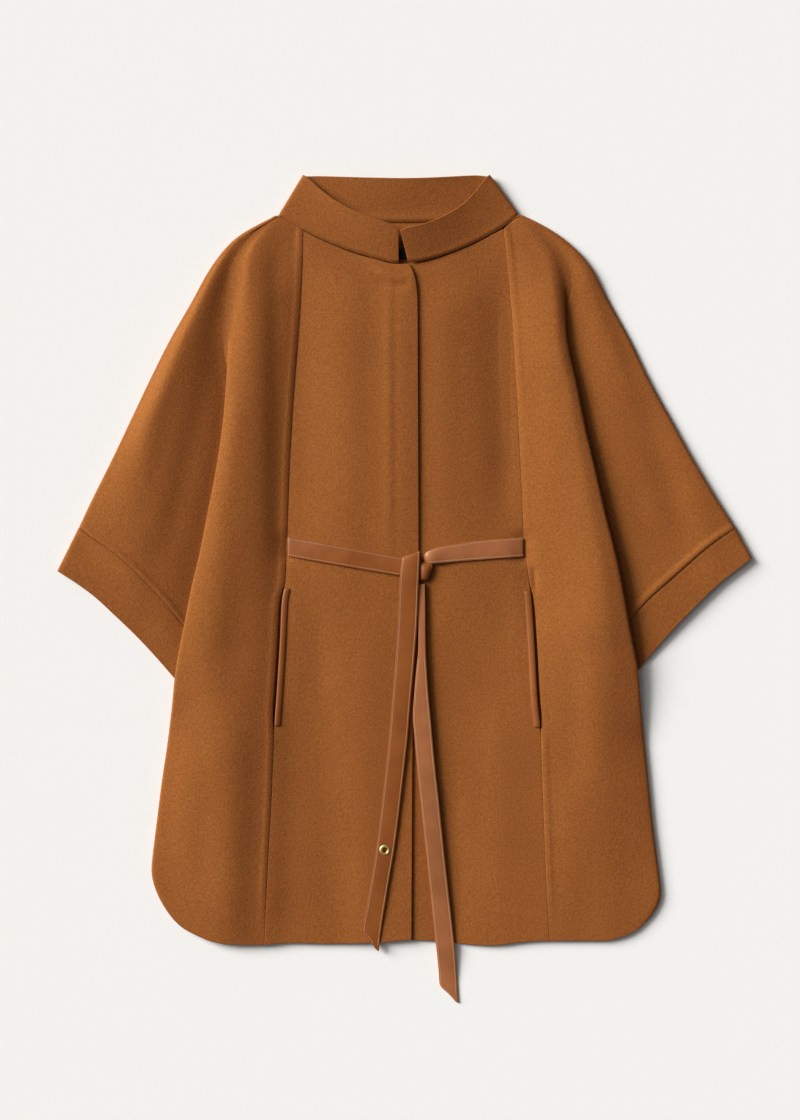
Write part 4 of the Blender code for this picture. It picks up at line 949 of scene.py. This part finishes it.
EYELET_PLACE = (-21.6, -285.8)
# Rise of the middle of each strap over its edges, against the distance along it
CROWN = {
    "belt_left": [(0, 0.3), (100, 0.3), (136, 0.8)],
    "belt_right": [(0, 0.3), (70, 0.4), (92, 1), (104, 1.6), (111, 1)],
    "belt_knot": [(0, 0.4), (4, 1.2), (9, 2.4), (16, 2), (21, 0.8)],
    "belt_end_left": [(0, 0.5), (12, 1), (40, 0.5), (440, 0.2)],
    "belt_end_right": [(0, 0.1), (60, 0.2), (460, 0.3)],
}


def strap_rows(cuts):
    """Fine cuts across a strap, 4 mm apart, as the ends of each, and the distance along it."""
    edges = []
    for ax, ay, bx, by, height in cuts:
        ends = [cloth_top(x, y) + REST_GAP + LEATHER / 2 if height is None else laid(x, y, height)
                for x, y in ((ax, ay), (bx, by))]
        edges.append((ax, ay, ends[0], bx, by, ends[1]))
    edges = np.array(edges)
    middle = (edges[:, :2] + edges[:, 3:5]) / 2
    length = np.concatenate([[0.0], np.cumsum(np.linalg.norm(np.diff(middle, axis=0), axis=1))])
    at = through([(length[i], *edges[i]) for i in range(len(edges))])
    count = max(int(length[-1] / 4), 6)
    return at, [length[-1] * i / count for i in range(count + 1)]


def strap(name, cuts, finish):
    at, places = strap_rows(cuts)
    crown = through(CROWN[name])
    grid = []
    for place in places:
        row = at(place)
        near, far = row[:3], row[3:]
        width = np.linalg.norm(far - near)
        across = [0.0, 0.5, STITCH_IN - 0.6, STITCH_IN, STITCH_IN + 0.7, width * 0.3, width / 2]
        dips = [0.3, 0.0, 0.0, 0.25, 0.0, 0.0, 0.0]
        if width < NARROW:
            across, dips = [width * t for t in np.linspace(0, 0.5, 7)], [0.0] * 7
        across += [width - inward for inward in across[-2::-1]]
        dips += dips[-2::-1]
        grid.append([tuple(mix(near, far, inward / width) + np.array(
            [0, 0, 4 * crown(place) * inward / width * (1 - inward / width) - dip]))
            for inward, dip in zip(across, dips)])
    piece = cloth(name, [grid], finish, wall=LEATHER, levels=1, creased=False)
    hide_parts(name)
    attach(piece, "root")
    return piece


# The right half and the right end are drawn in a lighter, pinker copy of the leather: a painted
# highlight where their gloss catches the light
leather_painted_highlight = tan_leather("tan leather, painted with its highlight", "#9f5e36", "#ad6b40")
straps = {}
for name, cuts in STRAPS.items():
    straps[name] = strap(name, cuts, leather_painted_highlight if name.endswith("right") else leather)

# Sewing of the belt: waxed linen thread, a lockstitch of short dashes sunk in a shallow groove
thread = material("waxed linen thread", {"Base Color": colour("#dcb286"), "Roughness": 0.6})
shape = bmesh.new()
for name, cuts in STRAPS.items():
    if name == "belt_knot":
        continue
    at, places = strap_rows(cuts)
    crown = through(CROWN[name])
    for i in range(int(places[-1] / STITCH_PITCH)):
        place = (i + 0.5) * STITCH_PITCH
        row, ahead = at(place), at(min(place + 0.5, places[-1]))
        width = np.linalg.norm(row[3:] - row[:3])
        # No sewing where the strap is gathered, nor in its last 4 mm
        if width < NARROW or place > places[-1] - 4:
            continue
        for inward in (STITCH_IN / width, 1 - STITCH_IN / width):
            centre = mix(row[:3], row[3:], inward)
            way = mix(ahead[:3], ahead[3:], inward) - centre
            way = way / np.linalg.norm(way)
            side_way = np.array([-way[1], way[0], 0.0])
            centre[2] += 4 * crown(place) * inward * (1 - inward) + LEATHER / 2 + THREAD_OUT
            rings = []
            for along_by, girth in ((-1.0, 0.35), (-0.7, 1.0), (0.7, 1.0), (1.0, 0.35)):
                ring = []
                for k in range(6):
                    turn = math.pi * k / 3
                    point = centre + way * along_by * STITCH_LONG / 2
                    point = point + side_way * girth * THREAD_WIDE * math.cos(turn)
                    point[2] += girth * THREAD_HIGH * math.sin(turn)
                    ring.append(shape.verts.new(point * MM))
                rings.append(ring)
            skin(shape, rings, ring=True)
            shape.faces.new(rings[0][::-1])
            shape.faces.new(rings[-1])
bmesh.ops.recalc_face_normals(shape, faces=shape.faces)
sewing = placed("belt_sewing", mesh_of("belt_sewing", shape))
sewing.data.shade_smooth()
sewing.data.materials.append(thread)
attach(sewing, "root")


# Eyelet: a turned brass ring with a rolled rim and a short barrel, pressed through the left end.
# Brass is an alloy of copper and zinc, so its shine is yellow. It is polished and then lacquered,
# which softens the shine.

# Section of the ring: distance from its axis, height over the middle of the leather
EYELET = [(2.7, -0.9), (2.7, 1.1), (3.0, 1.6), (3.7, 1.95), (4.6, 1.95), (5.4, 1.7), (5.9, 1.25),
          (6.0, 1.0), (3.5, 1.0), (3.4, -0.9)]
# Middle of the leather there, what the ring stands over it, radius of the hole in the leather
EYELET_Z, EYELET_LIFT, HOLE_R = 9.1, 0.1, 3.4
height = laid(*EYELET_PLACE, EYELET_Z) + EYELET_LIFT
cutter = bmesh.new()
bmesh.ops.create_cone(cutter, cap_ends=True, segments=48, radius1=HOLE_R * MM, radius2=HOLE_R * MM,
                      depth=20 * MM)
bmesh.ops.translate(cutter, vec=(EYELET_PLACE[0] * MM, EYELET_PLACE[1] * MM, height * MM),
                    verts=cutter.verts)
hole = placed("hole", mesh_of("hole", cutter))
end = straps["belt_end_left"]
cut = end.modifiers.new("hole", "BOOLEAN")
cut.object, cut.solver = hole, "EXACT"
holed = applied(end)
end.modifiers.clear()
end.data = holed
bpy.data.objects.remove(hole, do_unlink=True)

shape = bmesh.new()
rings = []
for k in range(64):
    turn = math.tau * k / 64
    rings.append([shape.verts.new(((EYELET_PLACE[0] + r * math.cos(turn)) * MM,
                                   (EYELET_PLACE[1] + r * math.sin(turn)) * MM,
                                   (height + z) * MM)) for r, z in EYELET])
skin(shape, rings + rings[:1], ring=True)
bmesh.ops.recalc_face_normals(shape, faces=shape.faces)
eyelet = placed("belt_eyelet", mesh_of("belt_eyelet", shape))
eyelet.data.shade_smooth()
made = material("polished brass", {
    "Base Color": colour("#eccb84"), "Metallic": 1.0, "Roughness": 0.42})
eyelet.data.materials.append(made)
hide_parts("belt_eyelet")
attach(eyelet, "root")


# Floor and light: a pale warm floor, a low soft light from the upper left with a weaker high one
# over it, and a dim room.

shape = bmesh.new()
bmesh.ops.create_grid(shape, x_segments=1, y_segments=1, size=4.0)
floor = placed("floor", mesh_of("floor", shape))
made = material("painted floor", {
    "Base Color": colour("#f7f5f1"), "Roughness": 0.9, "Specular IOR Level": 0.1})
floor.data.materials.append(made)

world = bpy.data.worlds.new("room")
bpy.context.scene.world = world
world.use_nodes = True
background = world.node_tree.nodes["Background"]
background.inputs["Color"].default_value = colour("#ffffff")
background.inputs["Strength"].default_value = 0.115


def sun(name, energy, spread, rise, turn=28):
    """A distant light from the upper left: its width, height and turn in degrees."""
    lamp = bpy.data.lights.new(name, "SUN")
    lamp.energy, lamp.angle = energy, math.radians(spread)
    made = placed(name, lamp)
    rise, turn = math.radians(rise), math.radians(turn)
    made.location = (-3 * math.cos(rise) * math.cos(turn), 3 * math.cos(rise) * math.sin(turn),
                     3 * math.sin(rise))
    made.rotation_euler = (-made.location).to_track_quat("-Z", "Y").to_euler()


# The second light is higher and much weaker, so that only deep folds go dark
sun("key", 4.9, 30, 26.5)
sun("high", 0.65, 40, 48)
bpy.context.scene.view_settings.view_transform = "Standard"

lens = bpy.data.cameras.new("camera")
lens.sensor_fit, lens.sensor_height, lens.lens = "VERTICAL", 36.0, 87.7
lens.clip_end = 20.0
camera = placed("camera", lens)
camera.location = (-0.005, 0.032, 3.0)
bpy.context.scene.camera = camera
